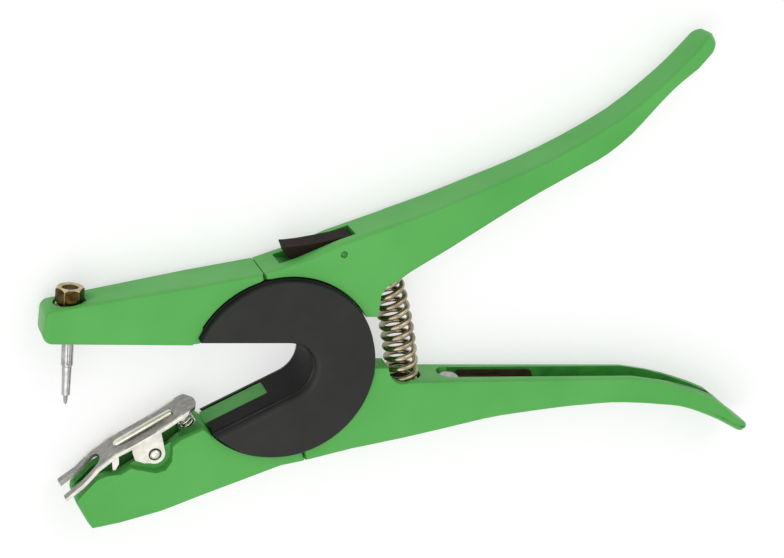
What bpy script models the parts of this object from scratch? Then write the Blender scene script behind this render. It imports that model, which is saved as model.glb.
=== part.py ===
"""Ear tag applicator: two painted castings that turn on an open, centreless lap hub.

Lengths are in metres. X runs from the jaws to the handles, Y from the lower arm to the upper
one, and Z along the axis that the arms turn on. The tool lies on its far hub plate at Z = 0.
Points of the castings are counted from the turning axis, in the plane of the lap between them.
"""

from math import asin, cos, degrees, hypot, pi, radians, sin

import bmesh
import bpy
from mathutils import Matrix, Vector

# Clearances
SEAT_GAP = 0.0003
LAP_GAP = 0.0003
RIM_GAP = 0.0003
RUNNING_GAP = 0.00015
OVERRUN = 0.004
WELD = 1e-6

# Hub
CASTING_HALF = 0.0088
RING_R = 0.0318
COVER_SETBACK = 0.0008
GROOVE_STEP = 0.0010
GROOVE_DEPTH = 0.0026
THROAT_R = 0.010
BUSH_WALL = 0.0023
THROAT_LOW_ANGLE = 208.5
RING_SETBACK = 0.0002
COVER_THICKNESS = 0.0029
COVER_ROUNDING = 0.0009
PLATE_THICKNESS = 0.0012
SEAM_TOP_ANGLE = 107.3
SEAM_LOW_ANGLE = -70.3
RIM_TOP_DEPTH = 0.0023
RIM_LOW_DEPTH = 0.0045
LAP_RELIEF = 0.0003

# Hub screws, and the bushes that run in the arc slots
SCREW_R = 0.0015
SCREW_HEAD_R = 0.0028
BUSH_R = 0.0024
SCREW_BITE_SHARE = 0.6
SCREW_ANGLES = (100.0, -14.0)
SCREW_WEB = 0.0029
CLOSING_ANGLE = 24.0

# Castings
EDGE_ROUND = 0.0018
CROWN_ROUND = 0.0028
UPPER_JAW_LENGTH = 0.0468
UPPER_JAW_SINK = 0.0023
UPPER_JAW_FALL = 0.0007
UPPER_JAW_TIP_HEIGHT = 0.0110
UPPER_JAW_TIP_HALF = 0.0066
UPPER_JAW_CORNER = 0.0030
LOWER_JAW_LENGTH = 0.0322
LOWER_JAW_DEPTH = 0.0259
LOWER_JAW_TIP_HALF = 0.0074
UPPER_HANDLE_LENGTH = 0.1068
UPPER_HANDLE_HEIGHT = 0.0874
LOWER_HANDLE_LENGTH = 0.1508
LOWER_HANDLE_DROP = 0.0278
LOWER_HANDLE_TOP = 0.0055
HANDLE_END_HALF = 0.0066
CHANNEL_HALF = 0.0043
CHANNEL_WEB = 0.0060

# Main spring, which bows away from the hub
SPRING_R = 0.0059
SPRING_WIRE = 0.00195
SPRING_TURNS = 11.5
SPRING_END_GAP = 0.0006
SPRING_SETOFF = 0.0147
SPRING_FOOT_DEPTH = 0.0068
SPRING_BEND = 16.0
SPRING_POCKET_GAP = 0.0004

# Applicator pin
PIN_SETBACK = 0.0090
PIN_LEAN = 2.45
PIN_ROOT_R = 0.0019
PIN_ROOT_LENGTH = 0.0090
PIN_GROOVE_R = 0.00045
PIN_NECK_R = 0.00155
PIN_END_R = 0.00135
PIN_TIP_R = 0.00075
PIN_DROP = 0.0193
PIN_TIP_LENGTH = 0.0036
PIN_THREAD_R = 0.00245
PIN_COLLAR_R = 0.0030
PIN_COLLAR_LENGTH = 0.0016
NUT_SEAT_DROP = 0.0002
NUT_HEIGHT = 0.0053
NUT_FLAT_R = 0.0040
WASHER_R = 0.0046
WASHER_THICKNESS = 0.0010
NUT_POCKET_R = 0.0053
PIN_END_DOME = 0.0009

# Tag clip
CLIP_HALF = 0.0065
CLIP_STEEL = 0.0012
CLIP_PIN_R = 0.0015
CLIP_EAR_R = 0.0034
CLIP_EAR_STEEL = 0.0011
CLIP_HEAD_R = 0.0021
CLIP_HEAD_HEIGHT = 0.0008
CLIP_SLOT_HALF = 0.0030
CLIP_RIB_R = 0.0011
CLIP_RING_R = 0.0027
TROUGH_HALF = 0.0032
CLIP_SPRING_R = 0.0026
CLIP_SPRING_WIRE = 0.0006
CLIP_SPRING_TURNS = 4.0
CLIP_OPENING_ANGLE = 12.0

# Thumb lever
LEVER_SLOT_HALF = 0.0043
LEVER_SLOT_WEB = 0.0022
LEVER_HALF = 0.0039
LEVER_PIN_R = 0.0010
LEVER_HUB_R = 0.0030
LEVER_SPRING_R = 0.0020
LEVER_SPRING_WIRE = 0.0005
LEVER_SPRING_TURNS = 2.5

# Spare pin in the lower handle
RETAINER_HALF = 0.0040
RETAINER_LENGTH = 0.0246
RETAINER_DROP = 0.0026
RETAINER_SCREW_R = 0.0020
RETAINER_HEAD_R = 0.0037
RETAINER_HEAD_HEIGHT = 0.0016
RETAINER_SCREW_LENGTH = 0.0100
SPARE_PIN_DEPTH = 0.0052

# Outlines: the root of each arm in shares of the ring's radius
UPPER_HANDLE_ROOT_SHARES = ((0.038, 1.160), (0.440, 1.351))
CHIN_SHARES = ((1.151, 0.965), (1.038, 0.900), (0.981, 0.811), (0.981, 0.550), (0.830, 0.550))
SPRING_HEAD_SHARES = (1.048, 0.968)
LOWER_HANDLE_ROOT_SHARES = ((1.434, -0.843), (0.881, -0.950))
LOWER_JAW_ROOT_SHARES = ((-1.088, -0.877), (-0.994, -0.786), (-0.761, -0.673))
LOWER_JAW_HEEL_SHARES = ((0.119, -1.129), (-0.296, -1.292))
LEVER_SLOT_SHARES = (-0.134, 0.640)
LEVER_PIN_SHARES = (0.494, 1.252)
LEVER_TOP_SHARES = ((-0.097, 1.264), (-0.025, 1.270), (0.088, 1.286), (0.289, 1.327), (0.491, 1.374), (0.597, 1.406))
LEVER_UNDER_SHARES = ((0.314, 1.192), (0.126, 1.188), (0.006, 1.138), (-0.044, 1.155))

# Outlines: the rest in shares of the arm's reach and of its rise or drop
UPPER_HANDLE_TOP_SHARES = (
    (0.228, 0.418), (0.338, 0.470), (0.447, 0.528),
    (0.558, 0.588), (0.668, 0.660), (0.776, 0.745), (0.855, 0.829), (0.914, 0.902), (0.958, 0.968),
)
UPPER_HANDLE_UNDER_SHARES = (
    (0.960, 0.894), (0.905, 0.834), (0.857, 0.765), (0.812, 0.698), (0.755, 0.636), (0.700, 0.595),
    (0.591, 0.518), (0.484, 0.435), (0.379, 0.350), (0.290, 0.282),
)
UPPER_HANDLE_TIP_SHARES = ((0.975, 0.998), (0.994, 0.990), (1.000, 0.971), (0.989, 0.940))
LOWER_HANDLE_TOP_SHARES = (
    (0.715, 0.000), (0.774, 0.070), (0.832, 0.185), (0.907, 0.390), (0.957, 0.675),
)
LOWER_HANDLE_TIP_SHARES = ((0.990, 0.870), (1.000, 0.935), (0.996, 0.985), (0.982, 1.000))
LOWER_HANDLE_UNDER_SHARES = (
    (0.926, 0.824), (0.876, 0.698), (0.830, 0.615), (0.784, 0.583), (0.741, 0.558), (0.675, 0.543),
    (0.611, 0.569), (0.570, 0.590), (0.447, 0.687), (0.388, 0.763), (0.328, 0.853),
)
LOWER_JAW_TOP_SHARE = (0.723, 0.600)
LOWER_JAW_FRONT_SHARES = ((0.903, 1.000), (1.000, 0.825))
LOWER_JAW_UNDER_SHARES = ((0.353, 0.801), (0.556, 0.894), (0.759, 0.964))
EAR_POCKET_SHARES = (
    (0.742, 0.572), (0.728, 0.617), (0.602, 0.643), (0.555, 0.624), (0.528, 0.572), (0.530, 0.468),
    (0.600, 0.330), (0.800, 0.460),
)
TROUGH_SHARES = (
    (0.968, 0.600), (0.955, 0.850), (0.690, 0.770), (0.495, 0.655), (0.475, 0.515), (0.475, 0.300),
)
CLIP_PIN_SHARES = (0.611, 0.541)
CLIP_SHARES = (
    (1.055, 0.797), (0.972, 0.719), (0.902, 0.624), (0.815, 0.538), (0.749, 0.497), (0.649, 0.428),
    (0.548, 0.350), (0.477, 0.288), (0.442, 0.265), (0.406, 0.258), (0.391, 0.277),
)
CLIP_EAR_SHARES = ((0.733, 0.495), (0.729, 0.529), (0.711, 0.577), (0.664, 0.596))
CLIP_TAB_SHARES = ((0.832, 0.569), (0.822, 0.634), (0.808, 0.634), (0.793, 0.597), (0.798, 0.552))
LOWER_CHANNEL_SHARES = ((0.546, 0.446), (0.682, 0.417), (0.764, 0.428), (0.830, 0.504), (0.906, 0.594))
UPPER_CHANNEL_SHARES = (
    (0.345, 0.382), (0.446, 0.452), (0.556, 0.520), (0.666, 0.600), (0.774, 0.690), (0.853, 0.785),
    (0.893, 0.838),
)

# Round sizes of the meshes
HUB_STEPS = 72
ROUND_STEPS = 24
SPRING_POINTS = 10

# What follows from the sizes above
COVER_R = RING_R - COVER_SETBACK
SCREW_CIRCLE_R = (THROAT_R + BUSH_WALL + RING_R) / 2
RIM_TOP_R = RING_R + RIM_TOP_DEPTH
RIM_LOW_R = RING_R + RIM_LOW_DEPTH
UPPER_JAW_REACH = RING_R + UPPER_JAW_LENGTH
UPPER_JAW_FLOOR = THROAT_R - UPPER_JAW_SINK - UPPER_JAW_FALL
NUT_SEAT_HEIGHT = UPPER_JAW_TIP_HEIGHT - NUT_SEAT_DROP
LOWER_JAW_REACH = RING_R + LOWER_JAW_LENGTH
LOWER_JAW_DROP = RING_R + LOWER_JAW_DEPTH
UPPER_HANDLE_REACH = RING_R + UPPER_HANDLE_LENGTH
UPPER_HANDLE_RISE = RING_R + UPPER_HANDLE_HEIGHT
LOWER_HANDLE_REACH = RING_R + LOWER_HANDLE_LENGTH
SPRING_FOOT_X = RING_R + SPRING_SETOFF
CHANNEL_FRONT_X = SPRING_FOOT_X + SPRING_R + CHANNEL_WEB
LEVER_SLOT_FLOOR = RING_R + LEVER_SLOT_WEB

# Heights along the turning axis, counted from the plane of the lap
RING_NEAR = CASTING_HALF - RING_SETBACK
COVER_BACK = RING_NEAR + SEAT_GAP
COVER_FACE = COVER_BACK + COVER_THICKNESS
WEB_FAR = -CASTING_HALF + RING_SETBACK
PLATE_FRONT = -CASTING_HALF - SEAT_GAP
PLATE_BACK = PLATE_FRONT - PLATE_THICKNESS
BORE_R = THROAT_R + BUSH_WALL + RIM_GAP
RECESS_R = RING_R + RIM_GAP
GROOVE_FLOOR = CASTING_HALF - GROOVE_DEPTH
REST_R = (THROAT_R + COVER_R) / 2

COLOURS = {
    "green_paint": ((0.119, 0.468, 0.114, 1.0), 0.0, 0.42),
    "black_moulding": ((0.030, 0.031, 0.029, 1.0), 0.0, 0.50),
    "black_steel": ((0.040, 0.036, 0.033, 1.0), 0.7, 0.45),
    "bright_steel": ((0.550, 0.540, 0.510, 1.0), 1.0, 0.30),
    "spring_steel": ((0.480, 0.440, 0.380, 1.0), 1.0, 0.28),
    "yellow_zinc": ((0.300, 0.250, 0.120, 1.0), 1.0, 0.35),
    "brown_black": ((0.045, 0.030, 0.026, 1.0), 0.0, 0.45),
}


def clear_scene():
    for obj in list(bpy.data.objects):
        bpy.data.objects.remove(obj)


def new_collection(name):
    collection = bpy.data.collections.new(name)
    bpy.context.scene.collection.children.link(collection)
    return collection


def material(name):
    """The Principled material of one finish, made the first time that it is asked for."""
    found = bpy.data.materials.get(name)
    if found:
        return found
    colour, metallic, roughness = COLOURS[name]
    found = bpy.data.materials.new(name)
    found.use_nodes = True
    shader = found.node_tree.nodes["Principled BSDF"]
    shader.inputs["Base Color"].default_value = colour
    shader.inputs["Metallic"].default_value = metallic
    shader.inputs["Roughness"].default_value = roughness
    found.diffuse_color = colour
    return found


def polar(radius, angle):
    """A point at this distance from the turning axis, with the angle in degrees from +X."""
    return Vector((radius * cos(radians(angle)), radius * sin(radians(angle))))


def arc(radius, start, end, steps, centre=(0.0, 0.0)):
    turns = [start + (end - start) * i / steps for i in range(steps + 1)]
    return [Vector(centre) + polar(radius, angle) for angle in turns]


def placed(shares, across, up):
    """Points of an outline from their shares of two sizes, which are negative to the left or down."""
    return [Vector((x * across, y * up)) for x, y in shares]


def smooth(points, steps):
    """A Catmull-Rom curve through the points."""
    points = [Vector(point) for point in points]
    ends = [2 * points[0] - points[1]] + points + [2 * points[-1] - points[-2]]
    found = []
    for before, start, end, after in zip(ends, ends[1:], ends[2:], ends[3:]):
        for i in range(steps):
            t = i / steps
            slope = (end - before) * t + (2 * before - 5 * start + 4 * end - after) * t**2
            bend = (3 * start - before - 3 * end + after) * t**3
            found.append(start + (slope + bend) / 2)
    return found + [points[-1]]


def ribbon(points, thickness):
    """The closed outline of a bent sheet whose top face runs through the points."""
    under = []
    for i, point in enumerate(points):
        along = points[min(i + 1, len(points) - 1)] - points[max(i - 1, 0)]
        under.append(point + Vector((along.y, -along.x)).normalized() * thickness)
    return list(points) + under[::-1]


def link(obj, finish=None):
    """Puts a piece among the parts, or a cutter, which has no finish, among the cutters."""
    group = PARTS if finish else CUTTERS
    group.objects.link(obj)
    if finish:
        obj.data.materials.clear()
        obj.data.materials.append(material(finish))
    else:
        obj.hide_render = True
        obj.display_type = "WIRE"
    return obj


def slab(name, outline, low, high, finish=None, turn=None):
    """A flat outline in XY, extruded along Z from low to high, then turned by a matrix."""
    data = bpy.data.curves.new(name, "CURVE")
    data.dimensions = "2D"
    data.fill_mode = "BOTH"
    data.extrude = (high - low) / 2
    spline = data.splines.new("POLY")
    spline.points.add(len(outline) - 1)
    for point, (x, y) in zip(spline.points, outline):
        point.co = (x, y, 0.0, 1.0)
    spline.use_cyclic_u = True
    guide = bpy.data.objects.new(name, data)
    bpy.context.scene.collection.objects.link(guide)
    guide.location.z = (low + high) / 2
    bpy.context.view_layer.update()
    graph = bpy.context.evaluated_depsgraph_get()
    mesh = bpy.data.meshes.new_from_object(guide.evaluated_get(graph))
    mesh.transform(guide.matrix_world)
    bpy.data.objects.remove(guide)
    bpy.data.curves.remove(data)
    work = bmesh.new()
    work.from_mesh(mesh)
    bmesh.ops.remove_doubles(work, verts=work.verts, dist=WELD)
    bmesh.ops.dissolve_limit(work, angle_limit=radians(0.05), verts=work.verts, edges=work.edges)
    bmesh.ops.recalc_face_normals(work, faces=work.faces)
    work.to_mesh(mesh)
    work.free()
    mesh.transform(turn or Matrix())
    mesh.name = name
    return link(bpy.data.objects.new(name, mesh), finish)


def round_rims(obj, width, faces=("near", "far"), segments=2, share_at=None):
    """Rounds the edges where a slab's flat faces meet its walls, by less where share_at says so."""
    mesh = obj.data
    work = bmesh.new()
    work.from_mesh(mesh)
    heights = {"near": max(v.co.z for v in work.verts), "far": min(v.co.z for v in work.verts)}
    weights = work.edges.layers.float.new("bevel_weight_edge")
    for edge in work.edges:
        for side in faces:
            level = all(abs(v.co.z - heights[side]) < WELD for v in edge.verts)
            if level and edge.calc_face_angle(0) > radians(60):
                edge[weights] = share_at((edge.verts[0].co + edge.verts[1].co) / 2) if share_at else 1.0
    work.to_mesh(mesh)
    work.free()
    bevel = obj.modifiers.new("rounded_rims", "BEVEL")
    bevel.limit_method = "WEIGHT"
    bevel.width = width
    bevel.segments = segments
    bevel.use_clamp_overlap = False


def taper(obj, knots):
    """Gives a slab about the lap plane a half thickness that runs straight from knot to knot along X."""
    work = bmesh.new()
    work.from_mesh(obj.data)
    half = max(abs(v.co.z) for v in work.verts)
    for x, _ in knots[1:-1]:
        everything = work.verts[:] + work.edges[:] + work.faces[:]
        bmesh.ops.bisect_plane(work, geom=everything, plane_co=(x, 0, 0), plane_no=(1, 0, 0))
    for vertex in work.verts:
        vertex.co.z *= half_at(vertex.co.x, knots) / half
    work.to_mesh(obj.data)
    work.free()


def half_at(x, knots):
    if x <= knots[0][0]:
        return knots[0][1]
    for (left, before), (right, after) in zip(knots, knots[1:]):
        if x <= right:
            return before + (after - before) * (x - left) / (right - left)
    return knots[-1][1]


def rod(name, radius, start, end, finish=None, sides=ROUND_STEPS, end_radius=None):
    """A cylinder, or a cone where end_radius is given, from one point to another."""
    start, end = Vector(start), Vector(end)
    work = bmesh.new()
    bmesh.ops.create_cone(
        work, cap_ends=True, segments=sides, depth=(end - start).length,
        radius1=radius, radius2=radius if end_radius is None else end_radius,
    )
    mesh = bpy.data.meshes.new(name)
    work.to_mesh(mesh)
    work.free()
    turn = Vector((0, 0, 1)).rotation_difference(end - start).to_matrix().to_4x4()
    mesh.transform(Matrix.Translation((start + end) / 2) @ turn)
    return link(bpy.data.objects.new(name, mesh), finish)


def turned(name, profile, place, finish=None, steps=ROUND_STEPS):
    """A shape turned about its own Z from (radius, height) points, which run down its outer side."""
    mesh = bpy.data.meshes.new(name)
    closed = profile[0] == profile[-1]
    points = profile[:-1] if closed else profile
    edges = [(i, (i + 1) % len(points)) for i in range(len(profile) - 1)]
    mesh.from_pydata([(radius, 0.0, height) for radius, height in points], edges, [])
    obj = link(bpy.data.objects.new(name, mesh), finish)
    obj.matrix_world = place
    screw = obj.modifiers.new("turned", "SCREW")
    screw.steps = steps
    screw.render_steps = steps
    screw.use_merge_vertices = True
    screw.merge_threshold = WELD
    return obj


def boolean(obj, other, operation):
    modifier = obj.modifiers.new(f"{operation.lower()}_{other.name}", "BOOLEAN")
    modifier.operation = operation
    modifier.object = other
    modifier.solver = "EXACT"


def cut(obj, *cutters):
    for cutter in cutters:
        boolean(obj, cutter, "DIFFERENCE")


def join(obj, *others):
    for other in others:
        boolean(obj, other, "UNION")


def smooth_shading(obj, angle=35.0):
    obj.data.shade_smooth()
    obj.data.set_sharp_from_angle(angle=radians(angle))


def along(start, direction):
    """A matrix that puts +Z along the direction, from the start."""
    turn = Vector((0, 0, 1)).rotation_difference(Vector(direction)).to_matrix().to_4x4()
    return Matrix.Translation(Vector(start)) @ turn


def coil_heights(length, wire, turns, per_turn, end_gap):
    """The heights of a coil's points. Its first and last turns close up where an end gap is given."""
    low = SEAT_GAP + wire / 2
    free = length - 2 * low
    end_pitch = wire + end_gap if end_gap else free / turns
    pitch = (free - 2 * end_pitch) / (turns - 2)
    heights = [low]
    for i in range(round(turns * per_turn)):
        at_end = i < per_turn or i >= (turns - 1) * per_turn
        heights.append(heights[-1] + (end_pitch if at_end else pitch) / per_turn)
    return heights


def coil_points(length, coil_r, heights, per_turn, bend):
    """A compression spring's path up +Z, bent into an arc that turns towards -X by the angle of its bend."""
    path = []
    for i, height in enumerate(heights):
        angle = 2 * pi * i / per_turn
        point = Vector((coil_r * cos(angle), coil_r * sin(angle), height))
        if bend:
            radius, turn = length / bend, bend * height / length
            point = Vector(((radius + point.x) * cos(turn) - radius, point.y, (radius + point.x) * sin(turn)))
        path.append(point)
    return path


def least_gap(path, wire, per_turn):
    """The least gap between turns, measured on points that are at least half a turn apart."""
    apart = per_turn // 2
    gaps = [(a - b).length for i, a in enumerate(path) for b in path[i + apart:]]
    return min(gaps) - wire


def coil(name, place, length, outer_r, wire, turns, end_gap=0.0, bend=0.0):
    per_turn = SPRING_POINTS
    heights = coil_heights(length, wire, turns, per_turn, end_gap)
    path = coil_points(length, outer_r - wire / 2, heights, per_turn, bend)
    print(f"{name}: least gap to itself {least_gap(path, wire, per_turn) * 1000:.2f} mm")
    data = bpy.data.curves.new(name, "CURVE")
    data.dimensions = "3D"
    data.bevel_depth = wire / 2
    data.bevel_resolution = 1
    data.use_fill_caps = True
    spline = data.splines.new("POLY")
    spline.points.add(len(path) - 1)
    for point, place_on in zip(spline.points, path):
        point.co = (*place_on, 1.0)
    spline.use_smooth = True
    obj = link(bpy.data.objects.new(name, data), "spring_steel")
    obj.matrix_world = place
    return obj


def empty(name, place, parent=None):
    obj = bpy.data.objects.new(name, None)
    PARTS.objects.link(obj)
    obj.parent = parent
    obj.location = place
    return obj


def hang(parent, offset, *pieces):
    """Parents pieces to an empty, whose place in the hub's own coordinates is the offset."""
    for piece in pieces:
        piece.parent = parent
        piece.matrix_local = Matrix.Translation(-Vector(offset)) @ piece.matrix_world


def throat_point(radius, offset):
    """Where a circle about the axis meets the throat's lower wall, set back by the offset."""
    return polar(radius, THROAT_LOW_ANGLE + degrees(asin(offset / radius)))


def c_outline(outer, throat, steps=HUB_STEPS):
    """A disc that is open at the throat: an outer arc, the two walls and the round throat end."""
    back = degrees(asin(throat / outer))
    outside = arc(outer, 180.0 - back, THROAT_LOW_ANGLE + back - 360.0, steps)
    inside = arc(throat, THROAT_LOW_ANGLE + 90.0 - 360.0, 90.0, steps // 3)
    return outside + inside


def seam(angle, inner, outer, gap):
    """Two points of the line where the arms meet, moved round the axis by the gap."""
    return [polar(radius, angle + degrees(gap / radius)) for radius in (inner, outer)]


def spring_foot():
    return Vector((SPRING_FOOT_X, -LOWER_HANDLE_TOP - SPRING_FOOT_DEPTH, 0.0))


def spring_head():
    return (RING_R * Vector(SPRING_HEAD_SHARES)).to_3d()


def spring_direction(bend_share):
    """The bowed spring's direction: its chord's, turned by a share of half the bend."""
    chord = (spring_head() - spring_foot()).normalized()
    return Matrix.Rotation(radians(SPRING_BEND) / 2 * bend_share, 3, "Z") @ chord


def spring_frame():
    """The foot's place, with +Z up the spring and +X away from the hub."""
    up = spring_direction(-1)
    side = Vector((up.y, -up.x, 0.0))
    turn = Matrix((side, up.cross(side), up)).transposed().to_4x4()
    return Matrix.Translation(spring_foot()) @ turn


def pin_direction():
    return Vector((sin(radians(PIN_LEAN)), -cos(radians(PIN_LEAN)), 0.0))


def pin_root():
    return Vector((PIN_SETBACK - UPPER_JAW_REACH, UPPER_JAW_FLOOR, 0.0))


def clip_pin_place():
    return placed([CLIP_PIN_SHARES], -LOWER_JAW_REACH, -LOWER_JAW_DROP)[0].to_3d()


def lever_pin_place():
    return placed([LEVER_PIN_SHARES], RING_R, RING_R)[0].to_3d()


def clip_line():
    return placed(CLIP_SHARES, -LOWER_JAW_REACH, -LOWER_JAW_DROP)


def upper_jaw():
    tip = -UPPER_JAW_REACH
    corner = Vector((tip + UPPER_JAW_CORNER, UPPER_JAW_FLOOR + UPPER_JAW_CORNER))
    top = corner + Vector((0.0, UPPER_JAW_TIP_HEIGHT - 2 * UPPER_JAW_CORNER + EDGE_ROUND / 2))
    inner, outer = seam(SEAM_TOP_ANGLE, THROAT_R, RIM_TOP_R, SEAT_GAP / 2)
    outline = [Vector((-THROAT_R, UPPER_JAW_FLOOR + UPPER_JAW_FALL))]
    outline += arc(UPPER_JAW_CORNER, -90.0, -180.0, 6, corner)
    outline += arc(UPPER_JAW_CORNER, -180.0, -255.0, 5, top)
    outline += [outer, inner]
    jaw = slab("upper_jaw", outline, -CASTING_HALF, CASTING_HALF)
    round_rims(jaw, EDGE_ROUND)
    taper(jaw, [(tip, UPPER_JAW_TIP_HALF), (-RING_R, CASTING_HALF), (0.0, CASTING_HALF)])
    cut(jaw, *pin_cutters())
    return jaw


def pin_cutters():
    """The bore for the pin, the counterbore for its collar, and the scooped seat of its nut."""
    up, root = -pin_direction(), pin_root()
    seat = root + up * NUT_SEAT_HEIGHT
    reach = NUT_HEIGHT + WASHER_THICKNESS + OVERRUN
    bore = rod("pin_bore", PIN_THREAD_R + RUNNING_GAP, root - up * OVERRUN, seat + up * OVERRUN)
    collar_top = PIN_COLLAR_LENGTH + 2 * SEAT_GAP
    collar = rod("collar_bore", PIN_COLLAR_R + SEAT_GAP, root - up * OVERRUN, root + up * collar_top)
    pocket = rod("nut_pocket", NUT_POCKET_R, seat, seat + up * reach, sides=32)
    scoop_start = seat + up * NUT_POCKET_R
    scoop_end = scoop_start + Vector((3 * NUT_POCKET_R, NUT_POCKET_R, 0.0))
    scoop = rod("nut_scoop", NUT_POCKET_R, scoop_start, scoop_end, sides=32, end_radius=NUT_POCKET_R / 2)
    return bore, collar, pocket, scoop


def lower_handle():
    reach, drop = LOWER_HANDLE_REACH, -LOWER_HANDLE_DROP
    inner, outer = seam(SEAM_LOW_ANGLE, RING_R - BUSH_R, RIM_LOW_R, SEAT_GAP / 2)
    foot = spring_foot()
    scoop = SPRING_R + SPRING_POCKET_GAP
    shoulder = Vector((foot.x - 1.4 * scoop, 0.0))
    start = Vector((LOWER_HANDLE_REACH * LOWER_HANDLE_TOP_SHARES[0][0], -LOWER_HANDLE_TOP))
    fall = -LOWER_HANDLE_DROP + LOWER_HANDLE_TOP
    top = [Vector((x * reach, y * fall - LOWER_HANDLE_TOP)) for x, y in LOWER_HANDLE_TOP_SHARES[1:]]
    outline = [Vector((RING_R * cos(radians(45.0)), 0.0)), shoulder]
    outline += [Vector((foot.x - scoop / 2, -LOWER_HANDLE_TOP))]
    outline += smooth([start] + top, 2)
    outline += placed(LOWER_HANDLE_TIP_SHARES, reach, drop)
    root = placed(LOWER_HANDLE_ROOT_SHARES, RING_R, RING_R)
    outline += smooth(placed(LOWER_HANDLE_UNDER_SHARES, reach, drop) + root, 2)
    outline += [outer, inner]
    handle = slab("lower_handle", outline, -CASTING_HALF, CASTING_HALF)
    round_rims(handle, EDGE_ROUND)
    taper(handle, [(0.0, CASTING_HALF), (RING_R, CASTING_HALF), (reach, HANDLE_END_HALF)])
    mouth = rod(
        "spring_mouth", scoop, (foot.x - scoop / 2, 0, -CASTING_HALF - OVERRUN),
        (foot.x - scoop / 2, 0, CASTING_HALF + OVERRUN), sides=32,
    )
    far_shoulder = slab(
        "far_shoulder",
        [(0.0, -LOWER_HANDLE_TOP * 0.65), (foot.x, -LOWER_HANDLE_TOP * 0.65), (foot.x, scoop), (0.0, scoop)],
        -CASTING_HALF - OVERRUN, LAP_GAP + LAP_RELIEF,
    )
    cut(handle, mouth, far_shoulder, lower_channel(), channel_end(), retainer_bore())
    return handle


def lower_channel():
    """The channel in the lower handle, which runs out towards the handle's end."""
    reach, drop = LOWER_HANDLE_REACH, -LOWER_HANDLE_DROP
    front = CHANNEL_FRONT_X + CHANNEL_HALF
    level = Vector((CHANNEL_FRONT_X + RETAINER_LENGTH + CHANNEL_HALF, channel_floor()))
    tip = spare_pin_place().x + SEAT_GAP + pin_length() + CHANNEL_HALF
    below_pin = spare_pin_place().y - PIN_ROOT_R - 2 * SEAT_GAP
    floor = []
    for point in placed(LOWER_CHANNEL_SHARES, reach, drop):
        if point.x > level.x:
            floor.append(Vector((point.x, min(point.y, below_pin) if point.x < tip else point.y)))
    outline = [Vector((front, OVERRUN)), Vector((front, level.y)), level]
    outline += smooth(floor, 3) + [Vector((floor[-1].x, OVERRUN))]
    channel = slab("lower_channel", outline, -CHANNEL_HALF, CHANNEL_HALF)
    narrow = reach * LOWER_CHANNEL_SHARES[-3][0]
    taper(channel, [(front, CHANNEL_HALF), (narrow, CHANNEL_HALF), (floor[-1].x, CHANNEL_HALF / 3)])
    return channel


def channel_floor():
    return -LOWER_HANDLE_TOP - RETAINER_DROP - SPARE_PIN_DEPTH


def channel_end():
    x = CHANNEL_FRONT_X + CHANNEL_HALF
    wide = CHANNEL_HALF + SEAT_GAP
    return rod("channel_end", wide, (x, channel_floor() - SEAT_GAP, 0), (x, 2 * OVERRUN, 0), sides=32)


def retainer_bore():
    x = CHANNEL_FRONT_X + CHANNEL_HALF
    bottom = channel_floor() - RETAINER_SCREW_LENGTH / 2
    return rod("retainer_bore", RETAINER_SCREW_R + RUNNING_GAP, (x, bottom - SEAT_GAP, 0), (x, 0, 0))


def lower_jaw():
    reach, drop = -LOWER_JAW_REACH, -LOWER_JAW_DROP
    inner, outer = seam(SEAM_LOW_ANGLE, RING_R - BUSH_R, RIM_LOW_R, -SEAT_GAP / 2)
    wall = THROAT_R + RIM_GAP
    outline = placed([LOWER_JAW_TOP_SHARE], reach, drop) + placed(LOWER_JAW_ROOT_SHARES, RING_R, RING_R)
    outline += [throat_point(RING_R, wall + SEAT_GAP), throat_point(RING_R - BUSH_R, wall + BUSH_R)]
    outline += [polar(RING_R - BUSH_R, 270.0), inner, outer]
    outline += placed(LOWER_JAW_HEEL_SHARES, RING_R, RING_R)
    outline += placed(LOWER_JAW_UNDER_SHARES, reach, drop)
    outline += placed(LOWER_JAW_FRONT_SHARES, reach, drop)
    jaw = slab("lower_jaw", outline, -CASTING_HALF, CASTING_HALF)
    round_rims(jaw, EDGE_ROUND)
    taper(jaw, [(reach, LOWER_JAW_TIP_HALF), (-RING_R, CASTING_HALF), (0.0, CASTING_HALF)])
    return jaw


def clip_ear_face():
    return CLIP_HALF - CLIP_EAR_STEEL - SEAT_GAP


def clip_seat_cutters():
    """The pockets for the clip's ears, the trough under it, its pin's bore and its spring's seat."""
    reach, drop = -LOWER_JAW_REACH, -LOWER_JAW_DROP
    place, face = clip_pin_place(), clip_ear_face()
    pocket = placed(EAR_POCKET_SHARES, reach, drop)
    near = slab("near_ear_pocket", pocket, face, CASTING_HALF + OVERRUN)
    far = slab("far_ear_pocket", pocket, -CASTING_HALF - OVERRUN, -face)
    trough = slab("trough", placed(TROUGH_SHARES, reach, drop), -TROUGH_HALF, TROUGH_HALF)
    side = Vector((0, 0, CASTING_HALF + OVERRUN))
    bore = rod("clip_pin_bore", CLIP_PIN_R + RUNNING_GAP, place - side, place + side)
    seat, up, length = clip_spring_seat()
    well = rod("clip_spring_well", CLIP_SPRING_R + SEAT_GAP, seat, seat + up * length)
    return near, far, trough, bore, well


def clip_spring_seat():
    """The foot, direction and length of the spring between the lower jaw and the clip's rear."""
    line = clip_line()
    rear, front = line[-4], line[-5]
    slope = (rear - front).normalized()
    down = Vector((slope.y, -slope.x))
    middle = (rear + front) / 2 + slope * CLIP_SPRING_R / 2 + down * CLIP_STEEL
    length = 3.2 * CLIP_SPRING_R
    seat = middle + down * length
    return seat.to_3d(), -down.to_3d(), length


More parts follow.
